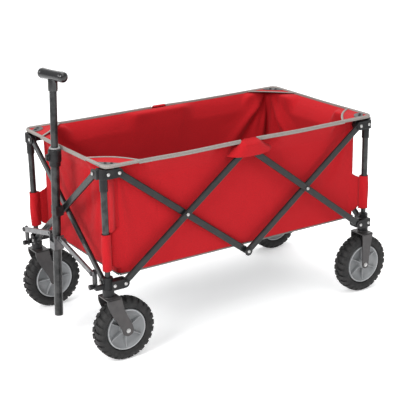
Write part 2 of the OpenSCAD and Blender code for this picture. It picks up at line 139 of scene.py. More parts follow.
world = bpy.data.worlds.new("studio")
scene.world = world
world.use_nodes = True
backdrop = world.node_tree.nodes["Background"]
backdrop.inputs["Color"].default_value = (1, 1, 1, 1)
seen = add_node(world.node_tree, "LightPath").outputs["Is Camera Ray"]
glow = ranged(world.node_tree, seen, 0.0, 1.0, 0.50, 1.0)
world.node_tree.links.new(glow, backdrop.inputs["Strength"])

floor_paint, floor_tree, floor_shader = new_finish("studio_floor")
floor_spots = add_node(floor_tree, "TexNoise", {"Scale": 1.4, "Detail": 2.0})
floor_tone = add_node(floor_tree, "ValToRGB", {"Fac": floor_spots.outputs["Fac"]})
floor_tone.color_ramp.elements[0].color = (0.95, 0.955, 0.96, 1)
floor_tone.color_ramp.elements[1].color = (0.97, 0.97, 0.97, 1)
floor_tree.links.new(floor_tone.outputs["Color"], floor_shader.inputs["Base Color"])
floor_shader.inputs["Roughness"].default_value = 0.9
floor_shader.inputs["Specular IOR Level"].default_value = 0.1
floor_tree.links.new(floor_tone.outputs["Color"], floor_shader.inputs["Emission Color"])
floor_shader.inputs["Emission Strength"].default_value = 0.37

# The floor's profile: how far back, and how high.
FLOOR_PROFILE = [
    (-6, 0), (-2, 0), (2, 0), (3.4, 0), (4.2, 0.08), (4.9, 0.4), (5.4, 1.0), (5.6, 1.8), (5.7, 6)
]
sweep = bmesh.new()
back_way = Vector((0.54, 0.84, 0))
side_way = Vector((0.84, -0.54, 0))
grid = [
    [sweep.verts.new(back_way * d + side_way * w + Vector((0, 0, h))) for w in (-9, -3, 0, 3, 9)]
    for d, h in FLOOR_PROFILE
]
for lower, upper in zip(grid, grid[1:]):
    for i in range(4):
        sweep.faces.new((lower[i], lower[i + 1], upper[i + 1], upper[i]))
bmesh.ops.recalc_face_normals(sweep, faces=sweep.faces)
sweep_mesh = bpy.data.meshes.new("studio_floor")
sweep.to_mesh(sweep_mesh)
sweep.free()
for face in sweep_mesh.polygons:
    face.use_smooth = True
sweep_mesh.materials.append(floor_paint)
studio_floor = bpy.data.objects.new("studio_floor", sweep_mesh)
scene.collection.objects.link(studio_floor)


# ---- Scissor arms ----
# Twelve flat steel tubes, pressed flat and rounded at their ends and powder coated
# charcoal. They cross in pairs, and a steel rivet holds each crossing and each end.

ARM_W, ARM_T, LAYER = 0.019, 0.009, 0.010
HEAD_T = 0.002
low_corner, high_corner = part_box("side_arm_left_a")
half_span = -low_corner.x - ARM_W / 2
pivot_low = low_corner.z + ARM_W / 2
pivot_high = high_corner.z - ARM_W / 2
side_y = {3: -(low_corner.y + high_corner.y) / 2}
side_y[2], side_y[1] = side_y[3] + LAYER, side_y[3] + 2 * LAYER
inner_lo, inner_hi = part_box("end_arm_rear_inner")
end_x = {2: (inner_lo.x + inner_hi.x) / 2}
end_x[1] = end_x[2] + LAYER
post_lo, post_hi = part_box("outer_post_rr")
post_x, post_y = (post_lo.x + post_hi.x) / 2, (post_lo.y + post_hi.y) / 2


def new_group(name, inputs, outputs):
    """An empty shader group with named sockets, and its two end nodes."""
    tree = bpy.data.node_groups.new(name, "ShaderNodeTree")
    for label, kind, value in inputs:
        socket = tree.interface.new_socket(label, in_out="INPUT", socket_type="NodeSocket" + kind)
        socket.default_value = value
    for label, kind in outputs:
        tree.interface.new_socket(label, in_out="OUTPUT", socket_type="NodeSocket" + kind)
    return tree, tree.nodes.new("NodeGroupInput"), tree.nodes.new("NodeGroupOutput")


def calc(tree, operation, *values):
    """One sum on values that change over the surface."""
    return add_node(tree, "Math", dict(enumerate(values)), operation=operation).outputs[0]


def blended(tree, share, colour, other):
    """A mix of two colours."""
    return add_node(tree, "MixRGB", {"Fac": share, "Color1": colour, "Color2": other}).outputs[0]


def shaded(tree, colour, share):
    """A colour made lighter or darker."""
    return add_node(tree, "VectorMath", {0: colour, "Scale": share}, operation="SCALE").outputs[0]


# Fine grain: the pebble of a powder coat or a moulded face, and slow patches of tone.
fine_grain, ins, outs = new_group(
    "Fine grain",
    [("Pebbles per metre", "Float", 600.0), ("Patches per metre", "Float", 18.0)],
    [("Height", "Float"), ("Patch", "Float")],
)
spot = add_node(fine_grain, "TexCoord").outputs["Object"]
pebbles = add_node(
    fine_grain, "TexNoise", {"Vector": spot, "Scale": ins.outputs[0], "Detail": 2.0}
)
patches = add_node(
    fine_grain, "TexNoise", {"Vector": spot, "Scale": ins.outputs[1], "Detail": 4.0}
)
fine_grain.links.new(pebbles.outputs["Fac"], outs.inputs["Height"])
fine_grain.links.new(patches.outputs["Fac"], outs.inputs["Patch"])

# Rubbed edges: corners that hands and cargo have polished lighter than the faces.
rubbed_edges, ins, outs = new_group(
    "Rubbed edges",
    [
        ("Colour", "Color", (0.1, 0.1, 0.1, 1)),
        ("Rubbed colour", "Color", (0.3, 0.3, 0.3, 1)),
        ("Amount", "Float", 0.5),
    ],
    [("Colour", "Color")],
)
corner = add_node(rubbed_edges, "NewGeometry").outputs["Pointiness"]
edge = ranged(rubbed_edges, corner, 0.52, 0.62)
spot = add_node(rubbed_edges, "TexCoord").outputs["Object"]
chips = add_node(rubbed_edges, "TexNoise", {"Vector": spot, "Scale": 55.0, "Detail": 5.0})
chips = ranged(rubbed_edges, chips.outputs["Fac"], 0.38, 0.62)
worn = calc(rubbed_edges, "MULTIPLY", edge, chips)
worn = calc(rubbed_edges, "MULTIPLY", worn, ins.outputs["Amount"])
tint = blended(rubbed_edges, worn, ins.outputs["Colour"], ins.outputs["Rubbed colour"])
rubbed_edges.links.new(tint, outs.inputs["Colour"])


def use_group(tree, group, values):
    """Places a group in a material, with its own values."""
    made = tree.nodes.new("ShaderNodeGroup")
    made.node_tree = group
    for name, value in values.items():
        if isinstance(value, bpy.types.NodeSocket):
            tree.links.new(value, made.inputs[name])
        else:
            made.inputs[name].default_value = value
    return made


def hard_finish(
    name, colour, rubbed, rough, rub=0.5, pebbles=900.0, depth=0.00006, metal=0.0, coat=0.0,
    gleam=0.36,
):
    """Paint, plate or moulded plastic: patchy tone, pebbled face, rubbed edges."""
    finish, tree, shader = new_finish(name)
    grain = use_group(tree, fine_grain, {"Pebbles per metre": pebbles})
    base = shaded(tree, colour, ranged(tree, grain.outputs["Patch"], 0.3, 0.7, 0.88, 1.10))
    edges = use_group(
        tree, rubbed_edges, {"Colour": base, "Rubbed colour": (*rubbed, 1), "Amount": rub}
    )
    tree.links.new(edges.outputs["Colour"], shader.inputs["Base Color"])
    gloss = ranged(tree, grain.outputs["Patch"], 0.3, 0.7, rough - 0.03, rough + 0.05)
    tree.links.new(gloss, shader.inputs["Roughness"])
    bump = add_node(
        tree, "Bump", {"Height": grain.outputs["Height"], "Distance": depth, "Strength": 0.6}
    )
    tree.links.new(bump.outputs[0], shader.inputs["Normal"])
    shader.inputs["Metallic"].default_value = metal
    shader.inputs["Specular IOR Level"].default_value = gleam
    if coat:
        shader.inputs["Coat Weight"].default_value = coat
        shader.inputs["Coat Roughness"].default_value = 0.12
    return finish


charcoal_coat = hard_finish(
    "charcoal_coat", (0.0085, 0.0095, 0.010), (0.09, 0.09, 0.09), 0.34, rub=0.35, coat=0.30,
    gleam=0.20,
)
rivet_zinc = hard_finish(
    "rivet_zinc", (0.46, 0.46, 0.455), (0.7, 0.7, 0.7), 0.32, metal=0.7, pebbles=1500.0
)


def flat_frame(along, across, out, origin):
    """A matrix that puts a flat outline in place: its x, its y and its thickness."""
    return Matrix.Translation(origin) @ Matrix((along, across, out)).transposed().to_4x4()


def prism(bm, outline, low, high, place):
    """Adds a flat outline, made thick from low to high."""
    under = [bm.verts.new(place @ Vector((x, y, low))) for x, y in outline]
    over = [bm.verts.new(place @ Vector((x, y, high))) for x, y in outline]
    bm.faces.new(under[::-1])
    bm.faces.new(over)
    for i in range(len(outline)):
        j = (i + 1) % len(outline)
        bm.faces.new((under[i], under[j], over[j], over[i]))


def circle(steps):
    """The cosine and sine of each even step round a circle."""
    return [(math.cos(math.tau * i / steps), math.sin(math.tau * i / steps)) for i in range(steps)]


def turned(bm, profile, place, steps=32, closed=False):
    """Adds a turned shape: profile is (radius, height) along the place's z axis."""
    rings = []
    for r, h in profile:
        if r < 1e-6:
            rings.append([bm.verts.new(place @ Vector((0, 0, h)))])
        else:
            rings.append(
                [bm.verts.new(place @ Vector((r * x, r * y, h))) for x, y in circle(steps)]
            )
    pairs = list(zip(rings, rings[1:]))
    if closed:
        pairs.append((rings[-1], rings[0]))
    for a, b in pairs:
        for i in range(steps):
            j = (i + 1) % steps
            if len(a) == 1:
                bm.faces.new((a[0], b[i], b[j]))
            elif len(b) == 1:
                bm.faces.new((a[i], a[j], b[0]))
            else:
                bm.faces.new((a[i], a[j], b[j], b[i]))


def stadium(length, half, steps=8):
    """The outline of a bar from 0 to length with round ends."""
    half_turn = [math.pi * i / steps for i in range(steps + 1)]
    right = [(length + half * math.sin(a), -half * math.cos(a)) for a in half_turn]
    left = [(-half * math.sin(a), half * math.cos(a)) for a in half_turn]
    return right + left


def piece(name, bm, finish, body, stands_for=(), ease=0.0, crease=None):
    """Makes an object that rides on one body of the frame, with its edges eased."""
    bmesh.ops.recalc_face_normals(bm, faces=bm.faces)
    mesh = bpy.data.meshes.new(name)
    bm.to_mesh(mesh)
    bm.free()
    for face in mesh.polygons:
        face.use_smooth = True
    mesh.materials.append(finish)
    obj = bpy.data.objects.new(name, mesh)
    scene.collection.objects.link(obj)
    if ease:
        bevel = obj.modifiers.new("eased_edges", "BEVEL")
        bevel.width = ease
        bevel.segments = 2
        bevel.limit_method = "ANGLE"
        bevel.angle_limit = math.radians(40)
        bevel.use_clamp_overlap = True
        obj.modifiers.new("even_shading", "WEIGHTED_NORMAL")
    if crease is not None:
        mesh.set_sharp_from_angle(angle=math.radians(crease))
    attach(obj, body)
    if stands_for:
        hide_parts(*stands_for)
    return obj


def axis_place(at, out):
    """A matrix whose z axis points out from a face."""
    return Matrix.Translation(at) @ Vector(out).to_track_quat("Z", "Y").to_matrix().to_4x4()


RIVET = [(0.0048, -0.0004), (0.0048, 0.0006), (0.0042, 0.0014), (0.0027, 0.0020), (0, 0.0022)]


def rivets(name, body, spots):
    """Bright domed rivet heads at (place, way out) on one body."""
    bm = bmesh.new()
    for at, out in spots:
        turned(bm, RIVET, axis_place(at, out), 20)
    return piece(name, bm, rivet_zinc, body, crease=50)


HEAD_R, WIDE_HEAD_R = 0.0065, 0.0125
SPACER_R = 0.0085


def washer(bm, at, out, r=HEAD_R, t=HEAD_T):
    turned(bm, [(0, 0), (r, 0), (r, t * 0.7), (r - 0.0008, t), (0, t)], axis_place(at, out), 28)


def scissor_arm(name, start, end, out, body, heads, cap=HEAD_R):
    """One flat tube from pivot to pivot. heads are shares of its length with a rivet."""
    start, end, out = Vector(start), Vector(end), Vector(out)
    along = (end - start).normalized()
    across = out.cross(along)
    bm = bmesh.new()
    prism(
        bm,
        stadium((end - start).length, ARM_W / 2),
        -ARM_T / 2,
        ARM_T / 2,
        flat_frame(along, across, out, start),
    )
    arm = piece(
        name.replace("_arm", "_arm_tube"), bm, charcoal_coat, body, (name,),
        ease=0.0030,
    )
    arm.modifiers["eased_edges"].segments = 3
    if heads:
        bm = bmesh.new()
        for share in heads:
            at = start.lerp(end, share)
            washer(bm, at + out * ARM_T / 2, out, cap if share == 1 else HEAD_R)
            washer(bm, at - out * (LAYER + ARM_T / 2), -out)
            spacer = [(SPACER_R, -ARM_T / 2 - 0.001), (SPACER_R, -ARM_T / 2)]
            turned(bm, spacer, axis_place(at, out), 28)
        piece(name + "_washers", bm, charcoal_coat, body, crease=40)
        rivets(
            name + "_rivets",
            body,
            [(start.lerp(end, share) + out * (ARM_T / 2 + HEAD_T), out) for share in heads],
        )


for side, sy in (("left", -1), ("right", 1)):
    out = (0, sy, 0)
    for letter, layer, x0, z0, x1, z1, heads in (
        ("a", 3, -half_span, pivot_high, 0, pivot_low, ()),
        ("b", 2, -half_span, pivot_low, 0, pivot_high, (0.5,)),
        ("c", 1, half_span, pivot_low, 0, pivot_high, (0.5, 1.0)),
        ("d", 2, half_span, pivot_high, 0, pivot_low, (1.0,)),
    ):
        y = sy * side_y[layer]
        scissor_arm(
            f"side_arm_{side}_{letter}", (x0, y, z0), (x1, y, z1), out, f"arm_{side}_{letter}",
            heads, cap=WIDE_HEAD_R if letter == "d" else HEAD_R,
        )
for end, sx in (("front", -1), ("rear", 1)):
    half = half_span / 2
    for kind, layer, z0, z1, heads in (
        ("inner", 2, pivot_low, pivot_high, ()),
        ("outer", 1, pivot_high, pivot_low, (0.5,)),
    ):
        x = sx * end_x[layer]
        scissor_arm(
            f"end_arm_{end}_{kind}", (x, -half, z0), (x, half, z1), (sx, 0, 0), f"arm_{end}_{kind}",
            heads
        )


# ---- Corner brackets and posts ----
# Eight moulded nylon brackets. Each grips a post and forks round one side arm and one end
# arm, with a rivet through each fork. The posts are charcoal tubes that slide together.

black_nylon = hard_finish(
    "black_nylon", (0.0075, 0.0075, 0.0085), (0.05, 0.05, 0.05), 0.40, pebbles=1400.0,
    depth=0.00012, gleam=0.28,
)


def softened(node, finish, ease=0.0010):
    """Stands for a CAD piece with the same piece, its edges eased as pressed or moulded."""
    source = frame["nodes"][node]
    bm = bmesh.new()
    bm.from_mesh(source.data)
    bmesh.ops.remove_doubles(bm, verts=bm.verts, dist=0.00012)
    bmesh.ops.dissolve_limit(bm, angle_limit=math.radians(1.5), verts=bm.verts, edges=bm.edges)
    made = piece(node + "_moulded", bm, finish, source["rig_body"], (node,), ease=ease)
    made.modifiers["eased_edges"].use_clamp_overlap = False
    return made


FORK_HALF = ARM_T / 2 + 0.0005 + 0.003
for end, sx in (("f", -1), ("r", 1)):
    for side, sy in (("l", -1), ("r", 1)):
        place = end + side
        for level, z, side_layer, end_layer in (
            ("lower", pivot_low, 2 if sx < 0 else 1, 2 if sy < 0 else 1),
            ("upper", pivot_high, 3 if sx < 0 else 2, 1 if sy < 0 else 2),
        ):
            body = ("corner_" if level == "lower" else "top_") + place
            softened(f"{level}_bracket_{place}", black_nylon)
            face_y = sy * (side_y[side_layer] + FORK_HALF)
            face_x = sx * (end_x[end_layer] + FORK_HALF)
            rivets(
                f"{level}_rivets_{place}",
                body,
                [
                    ((sx * half_span, face_y + sy * HEAD_T, z), (0, sy, 0)),
                    ((sx * (post_x - 0.008), face_y, z), (0, sy, 0)),
                    ((face_x + sx * HEAD_T, sy * half_span / 2, z), (sx, 0, 0)),
                ],
            )
        for tube in ("outer_post_", "inner_post_"):
            node = frame["nodes"][tube + place]
            node.data.materials.clear()
            node.data.materials.append(charcoal_coat)


# ---- Wheels ----
# Foam-filled rubber tyres with two staggered rows of square lugs, on grey moulded hubs
# with six ribs on each face and a bead round the rim, painted pale as a highlight. Each
# turns on a plain bolt.

# Settled dust: pale dust that lies in uneven spots.
settled_dust, ins, outs = new_group(
    "Settled dust",
    [
        ("Colour", "Color", (0.1, 0.1, 0.1, 1)),
        ("Dust colour", "Color", (0.3, 0.28, 0.25, 1)),
        ("Amount", "Float", 0.3),
        ("Spots per metre", "Float", 60.0),
    ],
    [("Colour", "Color")],
)
spot = add_node(settled_dust, "TexCoord").outputs["Object"]
specks = add_node(
    settled_dust, "TexNoise",
    {"Vector": spot, "Scale": ins.outputs["Spots per metre"], "Detail": 6.0, "Roughness": 0.7}
)
specks = ranged(settled_dust, specks.outputs["Fac"], 0.42, 0.72)
dusty = calc(settled_dust, "MULTIPLY", specks, ins.outputs["Amount"])
tint = blended(settled_dust, dusty, ins.outputs["Colour"], ins.outputs["Dust colour"])
settled_dust.links.new(tint, outs.inputs["Colour"])

tyre_rubber, tree, shader = new_finish("tyre_rubber")
grain = use_group(tree, fine_grain, {"Pebbles per metre": 700.0, "Patches per metre": 40.0})
edges = use_group(
    tree, rubbed_edges,
    {"Colour": (0.008, 0.008, 0.0085, 1), "Rubbed colour": (0.045, 0.043, 0.042, 1), "Amount": 0.7}
)
dust = use_group(
    tree, settled_dust,
    {"Colour": edges.outputs["Colour"], "Dust colour": (0.09, 0.085, 0.08, 1), "Amount": 0.16}
)
tree.links.new(dust.outputs["Colour"], shader.inputs["Base Color"])
gloss = ranged(tree, grain.outputs["Patch"], 0.3, 0.7, 0.55, 0.78)
tree.links.new(gloss, shader.inputs["Roughness"])
bump = add_node(
    tree, "Bump", {"Height": grain.outputs["Height"], "Distance": 0.00025, "Strength": 0.7}
)
tree.links.new(bump.outputs[0], shader.inputs["Normal"])
shader.inputs["Specular IOR Level"].default_value = 0.35

hub_grey = hard_finish(
    "hub_grey", (0.235, 0.243, 0.25), (0.5, 0.51, 0.52), 0.36, rub=0.7, pebbles=1200.0
)
# The bead is painted paler than the hub: a painted highlight round the rim.
bead_grey = hard_finish("bead_grey", (0.36, 0.37, 0.38), (0.6, 0.6, 0.6), 0.30)

CARCASS = [
    (0.0592, 0.0150), (0.0625, 0.0202), (0.0690, 0.0224), (0.0765, 0.0216), (0.0822, 0.0180),
    (0.0850, 0.0100), (0.0855, 0.0), (0.0850, -0.0100), (0.0822, -0.0180), (0.0765, -0.0216),
    (0.0690, -0.0224), (0.0625, -0.0202), (0.0592, -0.0150),
]
LUG = [
    (0.0006, 0.0886, 3.3, 0.0), (0.0080, 0.0889, 4.5, 1.2), (0.0148, 0.0880, 4.7, 2.2),
    (0.0192, 0.0852, 4.5, 2.8), (0.0220, 0.0800, 4.0, 3.0), (0.0229, 0.0742, 2.6, 3.0),
]
LUGS = 26


def tyre_shape():
    bm = bmesh.new()
    turned(bm, CARCASS, Matrix.Identity(4), 78, closed=True)
    for row, hand in ((0.0, 1), (0.5, -1)):
        for k in range(LUGS):
            at = math.tau * (k + row) / LUGS
            rails = []
            for drop in (0.0, 0.0062):
                for turn in (-1, 1):
                    rail = []
                    for w, r, half, lean in LUG:
                        a = at + math.radians(turn * half + lean)
                        rail.append(
                            bm.verts.new(
                                ((r - drop) * math.cos(a), (r - drop) * math.sin(a), hand * w)
                            )
                        )
                    rails.append(rail)
            top_a, top_b, low_a, low_b = rails
            for i in range(len(LUG) - 1):
                for p, q in ((top_a, top_b), (top_b, low_b), (low_b, low_a), (low_a, top_a)):
                    bm.faces.new((p[i], q[i], q[i + 1], p[i + 1]))
            for i in (0, len(LUG) - 1):
                bm.faces.new((top_a[i], top_b[i], low_b[i], low_a[i]))
    return bm


HUB_FACE = [
    (0.0053, 0.0235), (0.0118, 0.0235), (0.0138, 0.0215), (0.0150, 0.0080), (0.0185, 0.0052),
    (0.0300, 0.0054), (0.0420, 0.0072), (0.0495, 0.0110), (0.0528, 0.0170), (0.0545, 0.0192),
    (0.0580, 0.0192), (0.0590, 0.0175),
]
RIBS, RIB_T = 6, 0.003
RIB = [
    (0.0130, 0.004), (0.0130, 0.0185), (0.0200, 0.0150), (0.0440, 0.0142), (0.0535, 0.0172),
    (0.0535, 0.004)
]
BEAD_AT, BEAD_OUT, BEAD_R = 0.0562, 0.0192, 0.0013


def hub_shape():
    bm = bmesh.new()
    profile = HUB_FACE + [(r, -h) for r, h in reversed(HUB_FACE)]
    turned(bm, profile, Matrix.Identity(4), 72, closed=True)
    for hand in (1, -1):
        for k in range(RIBS):
            turn = Matrix.Rotation(math.tau * (k + 0.3) / RIBS, 4, "Z")
            upright = Matrix(((1, 0, 0, 0), (0, 0, 1, 0), (0, hand, 0, 0), (0, 0, 0, 1)))
            prism(bm, RIB, -RIB_T / 2, RIB_T / 2, turn @ upright)
    return bm


def bead_shape():
    bm = bmesh.new()
    for hand in (1, -1):
        ring = [
            (BEAD_AT + BEAD_R * x, hand * (BEAD_OUT + BEAD_R * y)) for x, y in circle(10)
        ]
        turned(bm, ring, Matrix.Identity(4), 72, closed=True)
    return bm


wheel_centre = {}
for n, place in enumerate(("fl", "fr", "rl", "rr")):
    lo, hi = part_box("tyre_" + place)
    centre = (lo + hi) / 2
    wheel_centre[place] = centre
    spin = Matrix.Rotation(0.55 * n + 0.2, 4, "Z")
    upright = Matrix.Translation(centre) @ Matrix.Rotation(math.pi / 2, 4, "X") @ spin
    for name, shape, finish, slot, node, ease in (
        ("tyre_lugged_", tyre_shape, tyre_rubber, "tread", "tyre_", 0.0007),
        ("hub_ribbed_", hub_shape, hub_grey, "grey_plastic", "wheel_hub_", 0.0005),
        ("hub_bead_", bead_shape, bead_grey, "grey_plastic", None, 0),
    ):
        bm = shape()
        bmesh.ops.transform(bm, matrix=upright, verts=bm.verts)
        stands_for = (node + place,) if node else ()
        piece(name + place, bm, finish, "wheel_" + place, stands_for, ease=ease)


# ---- Wheel forks ----
# Pressed steel forks: two broad legs under a crown plate. The front pair swivels on a
# bearing under the bracket and sweeps back; the rear pair is fixed. A bolt is the axle.

fork_paint = hard_finish("fork_paint", (0.036, 0.033, 0.034), (0.12, 0.115, 0.11), 0.38, coat=0.15)


def curve(a, b, c, d, t):
    """A point on a smooth curve through four points, a share t of the way from b to c."""
    bend = (2 * a - 5 * b + 4 * c - d) * t**2 + (3 * b - a - 3 * c + d) * t**3
    return 0.5 * (2 * b + (c - a) * t + bend)


def smooth_outline(points, fixed=(), cuts=6):
    """A closed smooth curve through the points, with straight runs after the fixed ones."""
    made = []
    n = len(points)
    for i in range(n):
        a, b, c, d = (Vector(points[(i + k) % n]) for k in (-1, 0, 1, 2))
        made.append(b)
        if i in fixed:
            continue
        if (i - 1) % n in fixed:
            a = b
        if (i + 1) % n in fixed:
            d = c
        made += [curve(a, b, c, d, k / cuts) for k in range(1, cuts)]
    return [(p.x, p.y) for p in made]


LEG_IN, FORK_T = 0.025, 0.0035
crown_z = 2 * wheel_centre["rl"].z + 0.008
FRONT_LEG = [
    (-0.016, 0.1000), (-0.059, 0.1000), (-0.0585, 0.0860), (-0.053, 0.0690), (-0.043, 0.0490),
    (-0.030, 0.0280), (-0.0195, 0.0075), (-0.0145, -0.0090), (0.0, -0.0162), (0.0138, -0.0095),
    (0.0164, 0.0040), (0.0118, 0.0200), (0.0020, 0.0400), (-0.0065, 0.0590), (-0.0125, 0.0800),
]
REAR_LEG = [
    (0.026, 0.1000), (-0.014, 0.1000), (-0.0138, 0.0850), (-0.0125, 0.0450), (-0.0118, 0.0020),
    (-0.0080, -0.0090), (0.0, -0.0122), (0.0080, -0.0090), (0.0118, 0.0020), (0.0160, 0.0450),
    (0.0235, 0.0850),
]
BOLT_HEAD = [
    (0, 0), (0.0064, 0), (0.0064, 0.0009), (0.0053, 0.0011), (0.0050, 0.0024), (0.0034, 0.0032),
    (0, 0.0035),
]
for node, place, body, leg, x0, x1, boss_x in (
    ("caster_fork_left", "fl", "caster_left", FRONT_LEG, -0.059, -0.015, -post_x),
    ("caster_fork_right", "fr", "caster_right", FRONT_LEG, -0.059, -0.015, -post_x),
    ("rear_fork_left", "rl", "corner_rl", REAR_LEG, -0.014, 0.026, post_x),
    ("rear_fork_right", "rr", "corner_rr", REAR_LEG, -0.014, 0.026, post_x),
):
    c = wheel_centre[place]
    outline = smooth_outline(leg, fixed=(0,))
    bm = bmesh.new()
    for s in (-1, 1):
        place_leg = flat_frame(
            (1, 0, 0), (0, 0, 1), (0, -1, 0), (c.x, c.y + s * (LEG_IN + FORK_T / 2), c.z)
        )
        prism(bm, outline, -FORK_T / 2, FORK_T / 2, place_leg)
    outer = LEG_IN + FORK_T
    crown = [
        (x0 + 0.002, -outer), (x1 - 0.002, -outer), (x1, -outer + 0.004), (x1, outer - 0.004),
        (x1 - 0.002, outer), (x0 + 0.002, outer), (x0, outer - 0.004), (x0, -outer + 0.004),
    ]
    prism(
        bm, crown, crown_z - 0.0002, crown_z + FORK_T,
        flat_frame((1, 0, 0), (0, 1, 0), (0, 0, 1), (c.x, c.y, 0)),
    )
    boss_y = math.copysign(post_y, c.y)
    turned(
        bm,
        [(0, 0), (0.0165, 0), (0.0165, 0.0012), (0.0150, 0.0022), (0, 0.0022)],
        Matrix.Translation((boss_x, boss_y, crown_z + FORK_T)),
        36,
    )
    piece(node + "_pressed", bm, fork_paint, body, (node,), ease=0.0009)
    bm = bmesh.new()
    for s in (-1, 1):
        face = axis_place((c.x, c.y + s * outer, c.z), (0, s, 0))
        turned(bm, BOLT_HEAD, face, 24)
        turned(bm, [(0.0049, 0), (0.0049, -outer)], face, 24)
    piece(node + "_axle", bm, rivet_zinc, body, crease=45)


# ---- Pull handle ----
# A steel tube that tilts in the yoke, a second tube that slides in it under a moulded
# clamp collar, and a glossy T grip moulded over the end of the inner tube.

for node in ("handle_outer_tube", "handle_inner_tube"):
    made = frame["nodes"][node]
    made.data.materials.clear()
    made.data.materials.append(charcoal_coat)

LEAN = math.radians(2)
YOKE_REACH, YOKE_RISE = 0.037, 0.076
LEVER_AT, GRIP_AT, GRIP_TURN = 0.2305, 0.455, math.radians(15)
handle_pivot = Vector((-post_x - YOKE_REACH, 0, pivot_low + YOKE_RISE))
handle_place = Matrix.Translation(handle_pivot) @ Matrix.Rotation(LEAN, 4, "Y")
glossy_grip = hard_finish(
    "glossy_grip", (0.010, 0.010, 0.011), (0.04, 0.04, 0.04), 0.20, rub=0.3, pebbles=500.0,
    depth=0.00003, coat=0.6,
)
ring_grey = hard_finish("ring_grey", (0.22, 0.225, 0.225), (0.3, 0.3, 0.3), 0.38)

bm = bmesh.new()
turned(
    bm,
    [
        (0.0122, 0.2045), (0.0150, 0.2040), (0.0158, 0.2055), (0.0158, 0.2150), (0.0172, 0.2168),
        (0.0182, 0.2185), (0.0184, 0.2360), (0.0178, 0.2370), (0.0178, 0.2385), (0.0184, 0.2395),
        (0.0182, 0.2490), (0.0168, 0.2515), (0.0150, 0.2522), (0.0150, 0.2530), (0.0122, 0.2535),
    ],
    handle_place,
    48,
)
lever_outline = [
    (-0.0270, -0.0065), (-0.0270, 0.0065), (-0.0240, 0.0090), (-0.0120, 0.0110), (-0.0120, -0.0110),
    (-0.0240, -0.0090),
]
prism(
    bm, lever_outline, -0.0045, 0.0045,
    handle_place @ flat_frame((1, 0, 0), (0, 0, 1), (0, -1, 0), (0, 0, LEVER_AT)),
)
turned(
    bm, [(0, 0), (0.0048, 0), (0.0048, 0.0020), (0.0036, 0.0030), (0, 0.0030)],
    handle_place @ axis_place((-0.0195, -0.0045, LEVER_AT), (0, -1, 0)), 6,
)
piece("collar_clamp", bm, black_nylon, "handle", ("handle_collar",), ease=0.0006)
bm = bmesh.new()
turned(
    bm,
    [
        (0.0104, 0.2532), (0.0148, 0.2530), (0.0154, 0.2538), (0.0152, 0.2560), (0.0140, 0.2570),
        (0.0104, 0.2570),
    ],
    handle_place,
    40,
    closed=True,
)
piece("collar_ring", bm, ring_grey, "handle", crease=50)

grip_place = handle_place @ Matrix.Translation((0, 0, GRIP_AT)) @ Matrix.Rotation(GRIP_TURN, 4, "Z")
bar = grip_place @ Matrix.Rotation(math.pi / 2, 4, "X")
bm = bmesh.new()
grip_profile = [
    (0, -0.0500), (0.0070, -0.0497), (0.0112, -0.0484), (0.0136, -0.0458), (0.0144, -0.0425),
    (0.0145, -0.0380), (0.0142, -0.0250), (0.0139, -0.0100), (0.0139, 0.0100), (0.0142, 0.0250),
    (0.0145, 0.0380), (0.0144, 0.0425), (0.0136, 0.0458), (0.0112, 0.0484), (0.0070, 0.0497),
    (0, 0.0500),
]
turned(bm, grip_profile, bar, 40)
RING_AT, RING_R = 0.0142, 0.0006
for ring_at in (-0.0395, -0.0372, 0.0372, 0.0395):
    ring = [(RING_AT + RING_R * x, ring_at + RING_R * y) for x, y in circle(6)]
    turned(bm, ring, bar, 40, closed=True)
rings = []
for z, half_y, half_x in (
    (-0.0425, 0.0118, 0.0118), (-0.0420, 0.0132, 0.0128), (-0.0350, 0.0138, 0.0132),
    (-0.0200, 0.0138, 0.0130), (-0.0140, 0.0150, 0.0122), (-0.0100, 0.0180, 0.0106),
    (-0.0070, 0.0230, 0.0080), (-0.0040, 0.0250, 0.0040),
):
    rings.append(
        [bm.verts.new(grip_place @ Vector((half_x * x, half_y * y, z))) for x, y in circle(36)]
    )
for a, b in zip(rings, rings[1:]):
    for i in range(36):
        bm.faces.new((a[i], a[(i + 1) % 36], b[(i + 1) % 36], b[i]))
bm.faces.new(rings[0][::-1])
bm.faces.new(rings[-1])
piece("handle_t_grip", bm, glossy_grip, "handle_pull", ("handle_grip",), crease=55)


# ---- Handle clip, yoke and links ----
# A nylon clip on the front crossing holds the folded handle. Below it a plated steel hub
# carries the handle's tilt pin, and two plated links tie the hub to the lower brackets.

link_plate = hard_finish(
    "link_plate", (0.11, 0.11, 0.115), (0.5, 0.5, 0.5), 0.26, metal=0.7, pebbles=1500.0
)
hub_plate = hard_finish("hub_plate", (0.085, 0.085, 0.09), (0.4, 0.4, 0.4), 0.30, metal=0.5)

softened("handle_clip", black_nylon)
softened("yoke_hub", hub_plate, 0.0008)
for side in ("left", "right"):
    softened(f"yoke_link_{side}", link_plate, 0.0012)


# ---- Cloth tub: walls ----
# Plain-woven red polyester with a thin lining. Each wall hangs inside the arms from the
# rim, turns out over the brackets as a lip, and is sewn to the floor along a grey piping.

# Plain weave: threads over and under, from the cloth's own length and width in metres.
plain_weave, ins, outs = new_group(
    "Plain weave",
    [("Cloth", "Vector", (0, 0, 0)), ("Threads per metre", "Float", 1100.0)],
    [("Height", "Float"), ("Shade", "Float")],
)
threads = shaded(plain_weave, ins.outputs["Cloth"], ins.outputs["Threads per metre"])
split = add_node(plain_weave, "SeparateXYZ", {0: threads})


def crest(tree, value):
    """A rounded crest over each whole step of value."""
    return calc(tree, "ABSOLUTE", calc(tree, "SINE", calc(tree, "MULTIPLY", value, math.pi)))


